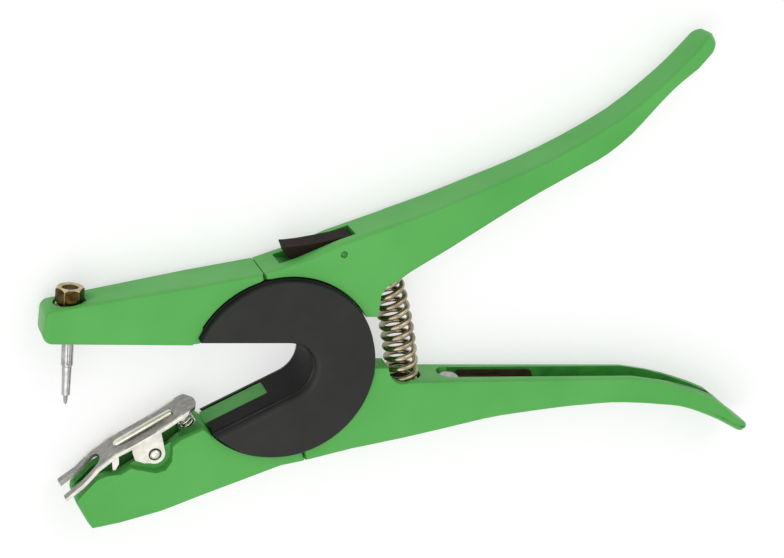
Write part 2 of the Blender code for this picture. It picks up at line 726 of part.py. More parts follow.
def upper_handle():
    reach, rise = UPPER_HANDLE_REACH, UPPER_HANDLE_RISE
    inner, outer = seam(SEAM_TOP_ANGLE, RING_R - BUSH_R, RIM_TOP_R, -SEAT_GAP / 2)
    root = placed(UPPER_HANDLE_ROOT_SHARES, RING_R, RING_R)
    outline = [inner, outer] + root
    outline += smooth(placed(UPPER_HANDLE_TOP_SHARES, reach, rise), 2)
    outline += placed(UPPER_HANDLE_TIP_SHARES, reach, rise)
    outline += smooth(placed(UPPER_HANDLE_UNDER_SHARES, reach, rise), 2)
    outline += placed(CHIN_SHARES, RING_R, RING_R)
    outline += [polar(RING_R - BUSH_R, 34.0), polar(RING_R - BUSH_R, 70.0)]
    handle = slab("upper_handle", outline, -CASTING_HALF, CASTING_HALF)
    crowned = (root[0].x, reach * UPPER_HANDLE_TOP_SHARES[0][0])
    plain = EDGE_ROUND / CROWN_ROUND
    low = LEVER_SLOT_FLOOR
    round_rims(
        handle, CROWN_ROUND, share_at=lambda at: 1.0 if crowned[0] < at.x < crowned[1] and at.y > low else plain
    )
    taper(handle, [(0.0, CASTING_HALF), (crowned[1] + CROWN_ROUND, CASTING_HALF), (reach, HANDLE_END_HALF)])
    head, up = spring_head(), spring_direction(1)
    deep = (head - spring_foot()).length / 2
    well = rod("upper_spring_well", SPRING_R + SPRING_POCKET_GAP, head - up * deep, head, sides=32)
    cut(handle, well, upper_channel(), lever_slot(), lever_bore())
    return handle


def upper_channel():
    """The channel along the underside of the upper handle."""
    reach, rise = UPPER_HANDLE_REACH, UPPER_HANDLE_RISE
    roof = smooth(placed(UPPER_CHANNEL_SHARES, reach, rise), 2)
    below = Vector((CASTING_HALF, -2 * CASTING_HALF))
    outline = roof + [roof[-1] + below, roof[0] + below]
    channel = slab("upper_channel", outline, -CHANNEL_HALF, CHANNEL_HALF)
    narrow = reach * UPPER_CHANNEL_SHARES[-3][0]
    taper(channel, [(roof[0].x, CHANNEL_HALF), (narrow, CHANNEL_HALF), (reach, CHANNEL_HALF / 3)])
    return channel


def lever_slot():
    top = UPPER_HANDLE_RISE * UPPER_HANDLE_TOP_SHARES[0][1]
    front, rear = (share * RING_R for share in LEVER_SLOT_SHARES)
    outline = [(front, LEVER_SLOT_FLOOR), (rear, LEVER_SLOT_FLOOR), (rear, top), (front, top)]
    return slab("lever_slot", outline, -LEVER_SLOT_HALF, LEVER_SLOT_HALF)


def lever_bore():
    place, side = lever_pin_place(), Vector((0, 0, CASTING_HALF + OVERRUN))
    return rod("lever_bore", LEVER_PIN_R + RUNNING_GAP, place - side, place + side)


def hub_cutter(name, radius, low, high):
    return rod(name, radius, (0, 0, low), (0, 0, high), sides=2 * HUB_STEPS)


def screw_angles():
    """The angles of the hub's screws, the last of which keeps clear of the throat's lining."""
    offset = THROAT_R + BUSH_WALL + SCREW_WEB
    return (*SCREW_ANGLES, THROAT_LOW_ANGLE - 360.0 + degrees(asin(offset / SCREW_CIRCLE_R)))


def screw_places():
    return [polar(SCREW_CIRCLE_R, angle).to_3d() for angle in screw_angles()]


def rise_to(place, height):
    return Vector((place.x, place.y, height))


def fixed_casting():
    """The upper jaw and lower handle, joined by the near half of the lap."""
    casting = slab("fixed_casting", c_outline(RING_R, BORE_R), LAP_GAP, RING_NEAR, "green_paint")
    recess_top = LAP_GAP + LAP_RELIEF
    outer = CASTING_HALF + COVER_THICKNESS + OVERRUN
    far = hub_cutter("fixed_recess", RECESS_R, -outer, recess_top)
    near = hub_cutter("cover_recess", COVER_R + SEAT_GAP, recess_top - LAP_RELIEF / 2, outer)
    for arm in (upper_jaw(), lower_handle()):
        cut(arm, far, near)
        join(casting, arm)
    foot, up = spring_foot(), spring_direction(-1)
    deep = (spring_head() - foot).length / 2
    well = rod("lower_spring_well", SPRING_R + SPRING_POCKET_GAP, foot, foot + up * deep, sides=32)
    cut(casting, well, cover_groove())
    for i, place in enumerate(screw_places()):
        low, high = rise_to(place, -OVERRUN), rise_to(place, outer)
        cut(casting, rod(f"fixed_screw_bore_{i}", SCREW_R + RUNNING_GAP, low, high))
    smooth_shading(casting)
    return casting


def cover_groove():
    """The groove round the cover, between the ring's shoulder and the arms."""
    inner, high = RING_R - GROOVE_STEP, CASTING_HALF + OVERRUN
    profile = [(inner, high), (RECESS_R, high), (RECESS_R, GROOVE_FLOOR), (inner, GROOVE_FLOOR), (inner, high)]
    return turned("cover_groove", profile, Matrix(), steps=2 * HUB_STEPS)


def moving_casting():
    """The lower jaw and upper handle, joined by the far half of the lap."""
    casting = slab("moving_casting", c_outline(RING_R, THROAT_R + RIM_GAP), WEB_FAR, 0.0, "green_paint")
    cut(casting, hub_cutter("bush_bore", BORE_R, WEB_FAR - OVERRUN, OVERRUN))
    outer = CASTING_HALF + COVER_THICKNESS + OVERRUN
    recess = hub_cutter("moving_recess", RECESS_R, -LAP_RELIEF, outer)
    jaw = lower_jaw()
    place, face = clip_pin_place(), clip_ear_face()
    side = Vector((0, 0, face))
    join(jaw, rod("clip_lug", CLIP_EAR_R - SEAT_GAP, place - side, place + side))
    for arm in (jaw, upper_handle()):
        cut(arm, recess)
        join(casting, arm)
    cut(casting, *clip_seat_cutters())
    for i, angle in enumerate(screw_angles()):
        cut(casting, arc_slot(f"arc_slot_{i}", angle))
    smooth_shading(casting)
    return casting


def arc_slot(name, angle):
    """A slot round the axis that lets the hub's bushes pass while the arms close."""
    half = BUSH_R + SEAT_GAP
    end = angle + CLOSING_ANGLE
    tilt = degrees(SEAT_GAP / SCREW_CIRCLE_R)
    outline = arc(SCREW_CIRCLE_R + half, angle - tilt, end + tilt, 8)
    outline += arc(half, end, end + 180.0, 8, polar(SCREW_CIRCLE_R, end + tilt))[1:-1]
    outline += arc(SCREW_CIRCLE_R - half, end + tilt, angle - tilt, 8)
    outline += arc(half, angle + 180.0, angle + 360.0, 8, polar(SCREW_CIRCLE_R, angle - tilt))[1:-1]
    return slab(name, outline, -CASTING_HALF - OVERRUN, OVERRUN)


def hub_cover():
    cover = slab("hub_cover", c_outline(COVER_R, THROAT_R), COVER_BACK, COVER_FACE, "black_moulding")
    round_rims(cover, COVER_ROUNDING, ("near",))
    for i, place in enumerate(screw_places()):
        low = rise_to(place, COVER_BACK - OVERRUN)
        high = rise_to(place, COVER_BACK + COVER_THICKNESS * SCREW_BITE_SHARE + SEAT_GAP)
        cut(cover, rod(f"cover_bore_{i}", SCREW_R + RUNNING_GAP, low, high))
    smooth_shading(cover)
    return cover


def throat_bush():
    """The split bush that both halves turn on, and the lining of the throat in the near half."""
    outer = THROAT_R + BUSH_WALL
    low, high = PLATE_FRONT + SEAT_GAP, COVER_BACK - SEAT_GAP
    bush = slab("throat_bush", c_outline(outer, THROAT_R, 48), low, high, "black_moulding")
    rim = COVER_R
    lining = c_outline(rim, THROAT_R)[:1] + [throat_point(rim, THROAT_R)]
    lining += arc(THROAT_R, THROAT_LOW_ANGLE + 90.0 - 360.0, 90.0, 24)
    back = degrees(asin(outer / rim))
    outside = [polar(rim, 180.0 - back)] + arc(outer, 90.0, THROAT_LOW_ANGLE - 270.0, 24)
    outside += [throat_point(rim, outer)]
    outline = lining[1:] + lining[:1] + outside
    walls = slab("throat_lining", outline, LAP_GAP + LAP_RELIEF, high - RING_SETBACK)
    join(bush, walls)
    smooth_shading(bush)
    return bush


def hub_plate():
    plate = slab("hub_plate", c_outline(COVER_R, THROAT_R), PLATE_BACK, PLATE_FRONT, "black_steel")
    for i, place in enumerate(screw_places()):
        low, high = rise_to(place, PLATE_BACK), rise_to(place, PLATE_FRONT)
        wide = SCREW_HEAD_R + SEAT_GAP + (SCREW_HEAD_R - SCREW_R) * SEAT_GAP / PLATE_THICKNESS
        sink = rod(f"plate_sink_{i}", wide, low - Vector((0, 0, SEAT_GAP)), high, end_radius=SCREW_R + SEAT_GAP)
        bore = rod(f"plate_bore_{i}", SCREW_R + RUNNING_GAP, low, rise_to(place, OVERRUN))
        cut(plate, sink, bore)
    return plate


def fasteners(name, profile, finish):
    """One turned piece at each of the hub's screw places."""
    pieces = []
    for i, place in enumerate(screw_places(), 1):
        piece = turned(f"{name}_{i}", profile, Matrix.Translation(place), finish, 16)
        smooth_shading(piece)
        pieces.append(piece)
    return pieces


def hub_screws():
    """Three countersunk screws that hold the plate, bushes, casting and cover together."""
    end = COVER_BACK + COVER_THICKNESS * SCREW_BITE_SHARE
    head = PLATE_BACK + RUNNING_GAP
    cone = head + PLATE_THICKNESS
    profile = [(0.0, end), (SCREW_R * 0.8, end), (SCREW_R, end - SCREW_R * 0.3), (SCREW_R, cone)]
    profile += [(SCREW_HEAD_R, head), (0.0, head)]
    return fasteners("hub_screw", profile, "black_steel")


def hub_bushes():
    low, high = PLATE_FRONT + SEAT_GAP, LAP_GAP - SEAT_GAP
    inner = SCREW_R + RUNNING_GAP
    profile = [(inner, high), (BUSH_R, high), (BUSH_R, low), (inner, low), (inner, high)]
    return fasteners("hub_bush", profile, "bright_steel")


def pin_profile():
    """The applicator pin from its threaded end down to its point, with the jaw's underside at 0."""
    seat = NUT_SEAT_HEIGHT + WASHER_THICKNESS + NUT_HEIGHT + 2 * SEAT_GAP
    top = seat + PIN_END_DOME
    collar = PIN_COLLAR_LENGTH
    neck = SEAT_GAP
    tip = -PIN_DROP - PIN_TIP_LENGTH
    return [
        (0.0, top), (PIN_THREAD_R * 0.7, top - PIN_END_DOME * 0.2), (PIN_THREAD_R, top - PIN_END_DOME * 0.8),
        (PIN_THREAD_R, collar + neck), (PIN_COLLAR_R, collar), (PIN_COLLAR_R, neck), (PIN_ROOT_R, neck),
        (PIN_ROOT_R, -PIN_ROOT_LENGTH), (PIN_NECK_R, -PIN_ROOT_LENGTH - PIN_ROOT_R + PIN_NECK_R),
        (PIN_END_R, -PIN_DROP), (PIN_TIP_R, -PIN_DROP - PIN_END_R + PIN_TIP_R),
        (PIN_TIP_R * 0.8, tip + PIN_TIP_R), (0.0, tip),
    ]


def applicator_pin():
    pin = turned("applicator_pin", pin_profile(), along(pin_root(), -pin_direction()), "bright_steel")
    root, down = pin_root(), pin_direction()
    start, end = root + down * PIN_GROOVE_R, root + down * (PIN_ROOT_LENGTH - PIN_GROOVE_R)
    for name, side in (("near", 1), ("far", -1)):
        offset = Vector((0, 0, side * PIN_ROOT_R))
        cut(pin, rod(f"{name}_pin_groove", PIN_GROOVE_R, start + offset, end + offset, sides=12))
    smooth_shading(pin)
    return pin


def pin_length():
    heights = [height for _, height in pin_profile()]
    return max(heights) - min(heights)


def pin_washer():
    low = NUT_SEAT_HEIGHT + SEAT_GAP
    high = low + WASHER_THICKNESS
    bore = PIN_THREAD_R + RUNNING_GAP
    profile = [(bore, high), (WASHER_R, high), (WASHER_R, low), (bore, low), (bore, high)]
    washer = turned("pin_washer", profile, along(pin_root(), -pin_direction()), "yellow_zinc")
    smooth_shading(washer)
    return washer


def pin_nut():
    """A hexagon nut with both ends chamfered by a turned shape."""
    up, root = -pin_direction(), pin_root()
    low = NUT_SEAT_HEIGHT + WASHER_THICKNESS + 2 * SEAT_GAP
    high = low + NUT_HEIGHT
    corner_r = NUT_FLAT_R / cos(pi / 6)
    nut = slab("pin_nut", arc(corner_r, 0.0, 300.0, 5), low, high, "yellow_zinc", along(root, up))
    drop = (corner_r - NUT_FLAT_R) * 0.8
    wide = corner_r + SEAT_GAP
    chamfer = [
        (0.0, high + SEAT_GAP), (NUT_FLAT_R - SEAT_GAP, high + SEAT_GAP), (wide, high - drop),
        (wide, low + drop), (NUT_FLAT_R - SEAT_GAP, low - SEAT_GAP), (0.0, low - SEAT_GAP),
    ]
    spun = along(root, up) @ Matrix.Rotation(radians(5.0), 4, "Z")
    boolean(nut, turned("nut_chamfer", chamfer, spun, steps=36), "INTERSECT")
    cut(nut, rod("nut_bore", PIN_THREAD_R + RUNNING_GAP, root, root + up * (high + OVERRUN)))
    smooth_shading(nut, 20.0)
    return nut


def main_spring():
    bend = radians(SPRING_BEND)
    chord = (spring_head() - spring_foot()).length
    length = chord * (bend / 2) / sin(bend / 2)
    return coil(
        "main_spring", spring_frame(), length, SPRING_R, SPRING_WIRE, SPRING_TURNS, SPRING_END_GAP, bend
    )


def tag_clip():
    """The stamped clip: a bent sheet with a fork in front, a round rear, two ears and a rib."""
    line = clip_line()
    clip = slab("tag_clip", ribbon(line, CLIP_STEEL), -CLIP_HALF, CLIP_HALF, "bright_steel")
    rear = max(point.x for point in line)
    front = min(point.x for point in line) - OVERRUN
    centre = Vector((rear - CLIP_HALF, 0.0))
    wide = CLIP_HALF + SEAT_GAP
    plan = [Vector((front, wide)), Vector((front, -wide))]
    plan += arc(wide, -90.0, 90.0, 16, centre)
    deep = LOWER_JAW_DROP + OVERRUN
    boolean(clip, slab("clip_plan", plan, -deep, deep, turn=Matrix.Rotation(pi / 2, 4, "X")), "INTERSECT")
    cut(clip, *clip_slot(line))
    join(clip, clip_rib(line))
    low, high = CLIP_HALF - CLIP_EAR_STEEL, CLIP_HALF - SEAT_GAP / 3
    for name, outline in (("ear", clip_ear()), ("tab", clip_tab())):
        join(clip, slab(f"near_{name}", outline, low, high), slab(f"far_{name}", outline, -high, -low))
    place, side = clip_pin_place(), Vector((0, 0, CLIP_HALF + OVERRUN))
    cut(clip, rod("ear_bore", CLIP_PIN_R + RUNNING_GAP, place - side, place + side))
    smooth_shading(clip)
    return clip


def clip_slot(line):
    """The fork's slot: a round end on the sheet's normal, and a straight run out past its tips."""
    forward = (line[1] - line[3]).normalized()
    normal = Vector((-forward.y, forward.x))
    end = line[3] + forward * 2.7 * CLIP_SLOT_HALF
    reach = line[0] - line[3]
    far = end + forward * reach.length
    deep = normal * 2 * CLIP_SLOT_HALF
    hole = rod("slot_end", CLIP_SLOT_HALF, (end - deep).to_3d(), (end + deep).to_3d())
    run = slab("slot_run", [end - deep, far - deep, far + deep, end + deep], -CLIP_SLOT_HALF, CLIP_SLOT_HALF)
    return run, hole


def clip_rib(line):
    """The pressed rib along the clip's middle, which stands half its width above the sheet."""
    start, end = line[4], line[6]
    slope = (end - start).normalized()
    under = Vector((slope.y, -slope.x)) * CLIP_RIB_R / 2
    step = slope * CLIP_STEEL
    first, last = (start - step + under).to_3d(), (end + step + under).to_3d()
    return rod("clip_rib", CLIP_RIB_R, first, last, sides=12)


def clip_ear():
    reach, drop = -LOWER_JAW_REACH, -LOWER_JAW_DROP
    line = clip_line()
    outline = placed(CLIP_EAR_SHARES, reach, drop)
    outline += arc(CLIP_EAR_R, -110.0, 20.0, 10, clip_pin_place().to_2d())
    slope = (line[6] - line[5]).normalized()
    top = (line[5] + line[6]) / 2 + Vector((slope.y, -slope.x)) * CLIP_STEEL / 2
    return outline + [top]


def clip_tab():
    return placed(CLIP_TAB_SHARES, -LOWER_JAW_REACH, -LOWER_JAW_DROP)


def clip_pin():
    """The rivet through the clip's ears and the lower jaw, with a round head on the near side."""
    head = CLIP_HALF + SEAT_GAP
    tail = -CLIP_HALF - 2 * SEAT_GAP - CLIP_HEAD_HEIGHT * 2
    profile = [
        (0.0, head + CLIP_HEAD_HEIGHT), (CLIP_HEAD_R * 0.7, head + CLIP_HEAD_HEIGHT * 0.8),
        (CLIP_HEAD_R, head + CLIP_HEAD_HEIGHT * 0.25), (CLIP_HEAD_R, head), (CLIP_PIN_R, head),
        (CLIP_PIN_R, tail), (0.0, tail),
    ]
    pin = turned("clip_pin", profile, Matrix.Translation(clip_pin_place()), "bright_steel")
    smooth_shading(pin)
    return pin


def clip_pin_ring():
    high = -CLIP_HALF - SEAT_GAP
    low = high - CLIP_HEAD_HEIGHT
    bore = CLIP_PIN_R + RUNNING_GAP
    profile = [(bore, high), (CLIP_RING_R, high), (CLIP_RING_R, low), (bore, low), (bore, high)]
    ring = turned("clip_pin_ring", profile, Matrix.Translation(clip_pin_place()), "bright_steel")
    smooth_shading(ring)
    return ring


def clip_spring():
    seat, up, length = clip_spring_seat()
    return coil("clip_spring", along(seat, up), length, CLIP_SPRING_R, CLIP_SPRING_WIRE, CLIP_SPRING_TURNS)


def catch_lever():
    """The thumb lever: a wedge with a round hub on its cross pin."""
    place = lever_pin_place()
    rear = RING_R * LEVER_SLOT_SHARES[1]
    outline = placed(LEVER_TOP_SHARES, RING_R, RING_R)
    outline += [Vector((rear - 2 * SEAT_GAP, place.y + LEVER_HUB_R))]
    outline += arc(LEVER_HUB_R, 10.0, -110.0, 8, place.to_2d())
    outline += placed(LEVER_UNDER_SHARES, RING_R, RING_R)
    lever = slab("catch_lever", outline, -LEVER_HALF, LEVER_HALF, "brown_black")
    side = Vector((0, 0, LEVER_SLOT_HALF + OVERRUN))
    cut(lever, rod("lever_hub_bore", LEVER_PIN_R + RUNNING_GAP, place - side, place + side))
    smooth_shading(lever)
    return lever


def lever_pin():
    place, side = lever_pin_place(), Vector((0, 0, CASTING_HALF))
    pin = rod("lever_pin", LEVER_PIN_R, place - side, place + side, "bright_steel", sides=16)
    smooth_shading(pin)
    return pin


def lever_spring():
    rear, front = placed(LEVER_UNDER_SHARES[:2], RING_R, RING_R)
    seat = Vector(((rear.x + front.x) / 2, LEVER_SLOT_FLOOR, 0.0))
    length = front.y - LEVER_SLOT_FLOOR
    return coil(
        "lever_spring", along(seat, (0, 1, 0)), length, LEVER_SPRING_R, LEVER_SPRING_WIRE, LEVER_SPRING_TURNS
    )


def pin_retainer():
    """The dark saddle in the channel, with a screw through its front and a bore for the spare pin."""
    front = CHANNEL_FRONT_X + SEAT_GAP + CHANNEL_HALF
    back = CHANNEL_FRONT_X + RETAINER_LENGTH
    low, high = channel_floor() + SEAT_GAP, -LOWER_HANDLE_TOP - RETAINER_DROP
    outline = [(front, low), (back, low), (back, high), (front, high)]
    saddle = slab("pin_retainer", outline, -RETAINER_HALF, RETAINER_HALF, "brown_black")
    join(saddle, rod("retainer_end", RETAINER_HALF, (front, low, 0), (front, high, 0)))
    centre = spare_pin_place()
    bore = rod("spare_bore", PIN_COLLAR_R - RUNNING_GAP, centre, centre + Vector((RETAINER_LENGTH, 0, 0)))
    x = CHANNEL_FRONT_X + CHANNEL_HALF
    screw = rod("saddle_screw_bore", RETAINER_SCREW_R + RUNNING_GAP, (x, low - OVERRUN, 0), (x, OVERRUN, 0))
    cut(saddle, bore, screw)
    smooth_shading(saddle)
    return saddle


def spare_pin_place():
    x = CHANNEL_FRONT_X + CHANNEL_HALF + RETAINER_HEAD_R
    return Vector((x, channel_floor() + SPARE_PIN_DEPTH / 2, 0.0))


def retainer_screw():
    x = CHANNEL_FRONT_X + CHANNEL_HALF
    seat = -LOWER_HANDLE_TOP - RETAINER_DROP + SEAT_GAP
    top = seat + RETAINER_HEAD_HEIGHT
    end = channel_floor() - RETAINER_SCREW_LENGTH / 2
    head, shank = RETAINER_HEAD_R, RETAINER_SCREW_R
    profile = [
        (0.0, top), (head * 0.6, top), (head * 0.92, top - RETAINER_HEAD_HEIGHT * 0.3),
        (head, seat + RETAINER_HEAD_HEIGHT * 0.3), (head, seat), (shank, seat), (shank, end), (0.0, end),
    ]
    place = Matrix.Translation((x, 0, 0)) @ Matrix.Rotation(-pi / 2, 4, "X")
    screw = turned("retainer_screw", profile, place, "bright_steel")
    smooth_shading(screw)
    return screw


def spare_pin():
    """A second pin, held by its threaded end, with its point towards the handle's end."""
    seat = NUT_SEAT_HEIGHT + WASHER_THICKNESS + NUT_HEIGHT + 2 * SEAT_GAP
    top = seat + PIN_END_DOME
    profile = [(radius, height) for radius, height in pin_profile() if radius < PIN_COLLAR_R]
    place = along(spare_pin_place() + Vector((top + SEAT_GAP, 0, 0)), (-1, 0, 0))
    pin = turned("spare_pin", profile, place, "bright_steel")
    smooth_shading(pin)
    return pin


def main():
    hub = empty("hub_axis", (-REST_R, 0.0, -PLATE_BACK))
    moving = empty("moving_arm_axis", (0.0, 0.0, 0.0), hub)
    clip = empty("clip_axis", clip_pin_place(), moving)
    lever = empty("lever_axis", lever_pin_place(), moving)
    fixed_pieces = [
        fixed_casting(), hub_cover(), throat_bush(), hub_plate(), *hub_bushes(), *hub_screws(),
        applicator_pin(), pin_washer(), pin_nut(), main_spring(), pin_retainer(), retainer_screw(), spare_pin(),
    ]
    moving_pieces = [
        moving_casting(), clip_pin(), clip_pin_ring(), clip_spring(), lever_pin(), lever_spring(),
    ]
    clip_pieces, lever_pieces = [tag_clip()], [catch_lever()]
    bpy.context.view_layer.update()
    hang(hub, (0, 0, 0), *fixed_pieces, *CUTTERS.objects)
    hang(moving, (0, 0, 0), *moving_pieces)
    hang(clip, clip_pin_place(), *clip_pieces)
    hang(lever, lever_pin_place(), *lever_pieces)
    bpy.context.view_layer.update()


clear_scene()
PARTS = new_collection("ear_tag_applicator")
CUTTERS = new_collection("cutters")
main()
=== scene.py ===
# %% [markdown]
# # An ear tag applicator, dressed
#
# The tool is two painted castings that turn on an open, C-shaped hub. This lesson starts from
# the solid model of every piece and gives each one the surface that it has on the real tool:
# enamel on the castings, moulded nylon on the hub, plated steel on the pin, clip and springs.

# %% The frame
from math import asin, cos, pi, radians, sin

import bpy
from mathutils import Matrix, Vector


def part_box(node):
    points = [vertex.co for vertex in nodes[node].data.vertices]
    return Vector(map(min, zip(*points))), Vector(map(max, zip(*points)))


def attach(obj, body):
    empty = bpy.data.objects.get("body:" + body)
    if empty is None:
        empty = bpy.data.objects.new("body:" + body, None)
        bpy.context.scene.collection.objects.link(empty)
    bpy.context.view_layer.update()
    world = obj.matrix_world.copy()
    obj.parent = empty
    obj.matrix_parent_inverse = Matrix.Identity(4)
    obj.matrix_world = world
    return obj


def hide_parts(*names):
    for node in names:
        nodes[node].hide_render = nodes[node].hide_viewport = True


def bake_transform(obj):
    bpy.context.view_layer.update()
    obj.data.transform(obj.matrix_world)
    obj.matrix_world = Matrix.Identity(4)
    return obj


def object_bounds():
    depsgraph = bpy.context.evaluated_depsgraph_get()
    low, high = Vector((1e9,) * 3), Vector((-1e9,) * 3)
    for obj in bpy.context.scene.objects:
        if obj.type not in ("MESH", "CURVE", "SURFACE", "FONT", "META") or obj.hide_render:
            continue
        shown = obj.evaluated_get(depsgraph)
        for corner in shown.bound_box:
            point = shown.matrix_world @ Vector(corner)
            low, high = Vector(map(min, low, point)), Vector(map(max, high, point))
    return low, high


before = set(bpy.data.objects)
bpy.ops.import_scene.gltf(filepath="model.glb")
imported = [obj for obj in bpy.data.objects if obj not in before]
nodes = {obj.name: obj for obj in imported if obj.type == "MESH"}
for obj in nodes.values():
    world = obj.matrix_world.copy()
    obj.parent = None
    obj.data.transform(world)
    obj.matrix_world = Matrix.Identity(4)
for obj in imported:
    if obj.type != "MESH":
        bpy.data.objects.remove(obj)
cad_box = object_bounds()
MM = 0.001
print("solids:", ", ".join(sorted(nodes)))

# %% [markdown]
# ## Camera
#
# The photograph looks down on the flat side of the tool, from the jaws' side and a little above.
# The three directions below are the camera's own right, up and back, and a 90 mm lens keeps the
# long handles from flaring.

# %% The camera
CAMERA_PLACE = (-0.21460, 0.24446, 0.57869)
CAMERA_AXES = (
    (0.93477, 0.13662, 0.32794),
    (-0.01040, 0.93323, -0.35914),
    (-0.35510, 0.33230, 0.87377),
)
LENS_MM = 90

bpy.ops.object.camera_add()
camera = bpy.context.active_object
camera.name = "camera"
camera.matrix_world = Matrix.Translation(CAMERA_PLACE) @ Matrix(CAMERA_AXES).transposed().to_4x4()
camera.data.lens = LENS_MM
camera.data.clip_start = 10 * MM
bpy.context.scene.camera = camera
print("camera", [round(x, 3) for x in camera.location])

# %% [markdown]
# ## Light and floor
#
# The studio is a pale floor, a world that is brighter overhead than at its walls, and two soft
# lamps. Two helpers come first. One turns the hex code of a colour, as a paint program gives it,
# into the linear numbers that light is reckoned in, and the other adds a node to a material or
# world with its settings and links.

# %% Colours and nodes
def hex_colour(code):
    """A linear colour from a hex code, which is written in sRGB as in a paint program."""
    parts = [int(code[i : i + 2], 16) / 255 for i in (1, 3, 5)]
    linear = [c / 12.92 if c <= 0.04045 else ((c + 0.055) / 1.055) ** 2.4 for c in parts]
    return (*linear, 1.0)


def add_node(tree, kind, settings=None, links=None):
    """Adds a node, sets its fields and sockets by name or number, and links its sockets."""
    node = tree.nodes.new(kind)
    for key, value in (settings or {}).items():
        if isinstance(key, str) and hasattr(node, key):
            setattr(node, key, value)
        else:
            node.inputs[key].default_value = value
    for key, source in (links or {}).items():
        tree.links.new(source, node.inputs[key])
    return node


WHITE = hex_colour("#FFFFFF")
print("white is", WHITE)

# %% [markdown]
# The world is bright overhead and dimmer towards its walls, by the height of each direction. The
# camera and the metal see plain white there instead: Light Path tells their rays from those that
# light the tool.

# %% The world
WALL_LIGHT = 0.48
CEILING_LIGHT = 0.80
WALL_HEIGHT = 0.25
CEILING_HEIGHT = 0.85


def backdrop_rays(tree):
    """1 for the rays that show a backdrop: the camera's own, and those that metal mirrors."""
    rays = add_node(tree, "ShaderNodeLightPath").outputs
    larger = {"operation": "MAXIMUM"}
    through = {0: rays["Is Glossy Ray"], 1: rays["Is Transmission Ray"]}
    mirrored = add_node(tree, "ShaderNodeMath", larger, through).outputs["Value"]
    shown = add_node(tree, "ShaderNodeMath", larger, {0: rays["Is Camera Ray"], 1: mirrored})
    return shown.outputs["Value"]


world = bpy.data.worlds.new("studio")
world.use_nodes = True
bpy.context.scene.world = world
room = world.node_tree
direction = add_node(room, "ShaderNodeTexCoord").outputs["Generated"]
height = add_node(room, "ShaderNodeSeparateXYZ", links={"Vector": direction}).outputs["Z"]
rise = {
    "interpolation_type": "SMOOTHSTEP", "From Min": WALL_HEIGHT, "From Max": CEILING_HEIGHT,
    "To Min": WALL_LIGHT, "To Max": CEILING_LIGHT,
}
walls = add_node(room, "ShaderNodeMapRange", rise, {"Value": height}).outputs["Result"]
seen = backdrop_rays(room)
strength = add_node(room, "ShaderNodeMix", {"data_type": "FLOAT", "B": 1.0}, {"Factor": seen, "A": walls})
backdrop = room.nodes["Background"]
backdrop.inputs["Color"].default_value = WHITE
room.links.new(strength.outputs["Result"], backdrop.inputs["Strength"])
print("world from", WALL_LIGHT, "at its walls to", CEILING_LIGHT, "overhead")

# %% [markdown]
# Both lamps hang high over the flat side, a key towards the jaws and a weaker fill beyond the
# upper handle. With the bright world overhead, most of the light falls on the flat side, so the
# flat faces are the palest and the channel and slots stay dark.

# %% The lamps
LAMPS = {
    "key": {"place": (-0.60, -0.35, 1.25), "side": 1.3, "energy": 7.6},
    "fill": {"place": (0.40, 0.90, 0.90), "side": 0.9, "energy": 3.0},
}

for lamp_name, lamp in LAMPS.items():
    bpy.ops.object.light_add(type="AREA", location=lamp["place"])
    light = bpy.context.active_object
    light.name = lamp_name
    light.data.size = lamp["side"]
    light.data.energy = lamp["energy"]
    light.rotation_euler = Vector(lamp["place"]).to_track_quat("Z", "Y").to_euler()
    print(lamp_name, "lamp of", lamp["energy"], "watts")

# %% [markdown]
# The floor is matt white paper. It glows a little for the camera and the metal, as a lit backdrop
# does, so that only a faint shadow is left on it.

# %% The floor
FLOOR_SIDE = 6.0
PAPER_ROUGHNESS = 0.9
PAPER_GLOW = 0.55

bpy.ops.mesh.primitive_plane_add(size=FLOOR_SIDE, location=(0.0, 0.0, cad_box[0][2]))
floor = bpy.context.active_object
floor.name = "floor"
paper = bpy.data.materials.new("matt white paper")
paper.use_nodes = True
sheet = paper.node_tree
matt = sheet.nodes["Principled BSDF"]
matt.inputs["Base Color"].default_value = WHITE
matt.inputs["Roughness"].default_value = PAPER_ROUGHNESS
glow = add_node(sheet, "ShaderNodeEmission", {"Color": WHITE, "Strength": 1.0}).outputs["Emission"]
times = {"operation": "MULTIPLY", 1: PAPER_GLOW}
share = add_node(sheet, "ShaderNodeMath", times, {0: backdrop_rays(sheet)}).outputs["Value"]
mixed = add_node(sheet, "ShaderNodeMixShader", links={0: share, 1: matt.outputs["BSDF"], 2: glow})
sheet.links.new(mixed.outputs["Shader"], sheet.nodes["Material Output"].inputs["Surface"])
floor.data.materials.append(paper)
print("floor at", round(cad_box[0][2], 4))

# %% [markdown]
# ## Finishes
#
# Every surface on the tool varies in the same three ways: its colour goes between two tones in
# blotches, its roughness may go between two values in blotches of another size, and it may have
# a fine relief. What differs is how large each is, so one helper draws blotches of a real size
# in millimetres on the piece's own coordinates.

# %% Blotches
BLOTCH_MIDDLE = 0.5


def blotches(tree, where, size_mm, between=None, half=0.2, detail=2.0, stretch=(1, 1, 1), turn=0.0):
    """A cloudy value with clouds of about this size. The middle of its range can be spread."""
    place = {"Rotation": (0, 0, turn), "Scale": stretch}
    laid = add_node(tree, "ShaderNodeMapping", place, {"Vector": where}).outputs["Vector"]
    scale = {"Scale": 1 / (size_mm * MM), "Detail": detail}
    cloudy = add_node(tree, "ShaderNodeTexNoise", scale, {"Vector": laid}).outputs["Fac"]
    if between is None:
        return cloudy
    span = {"From Min": BLOTCH_MIDDLE - half, "From Max": BLOTCH_MIDDLE + half}
    span.update({"To Min": between[0], "To Max": between[1]})
    return add_node(tree, "ShaderNodeMapRange", span, {"Value": cloudy}).outputs["Result"]


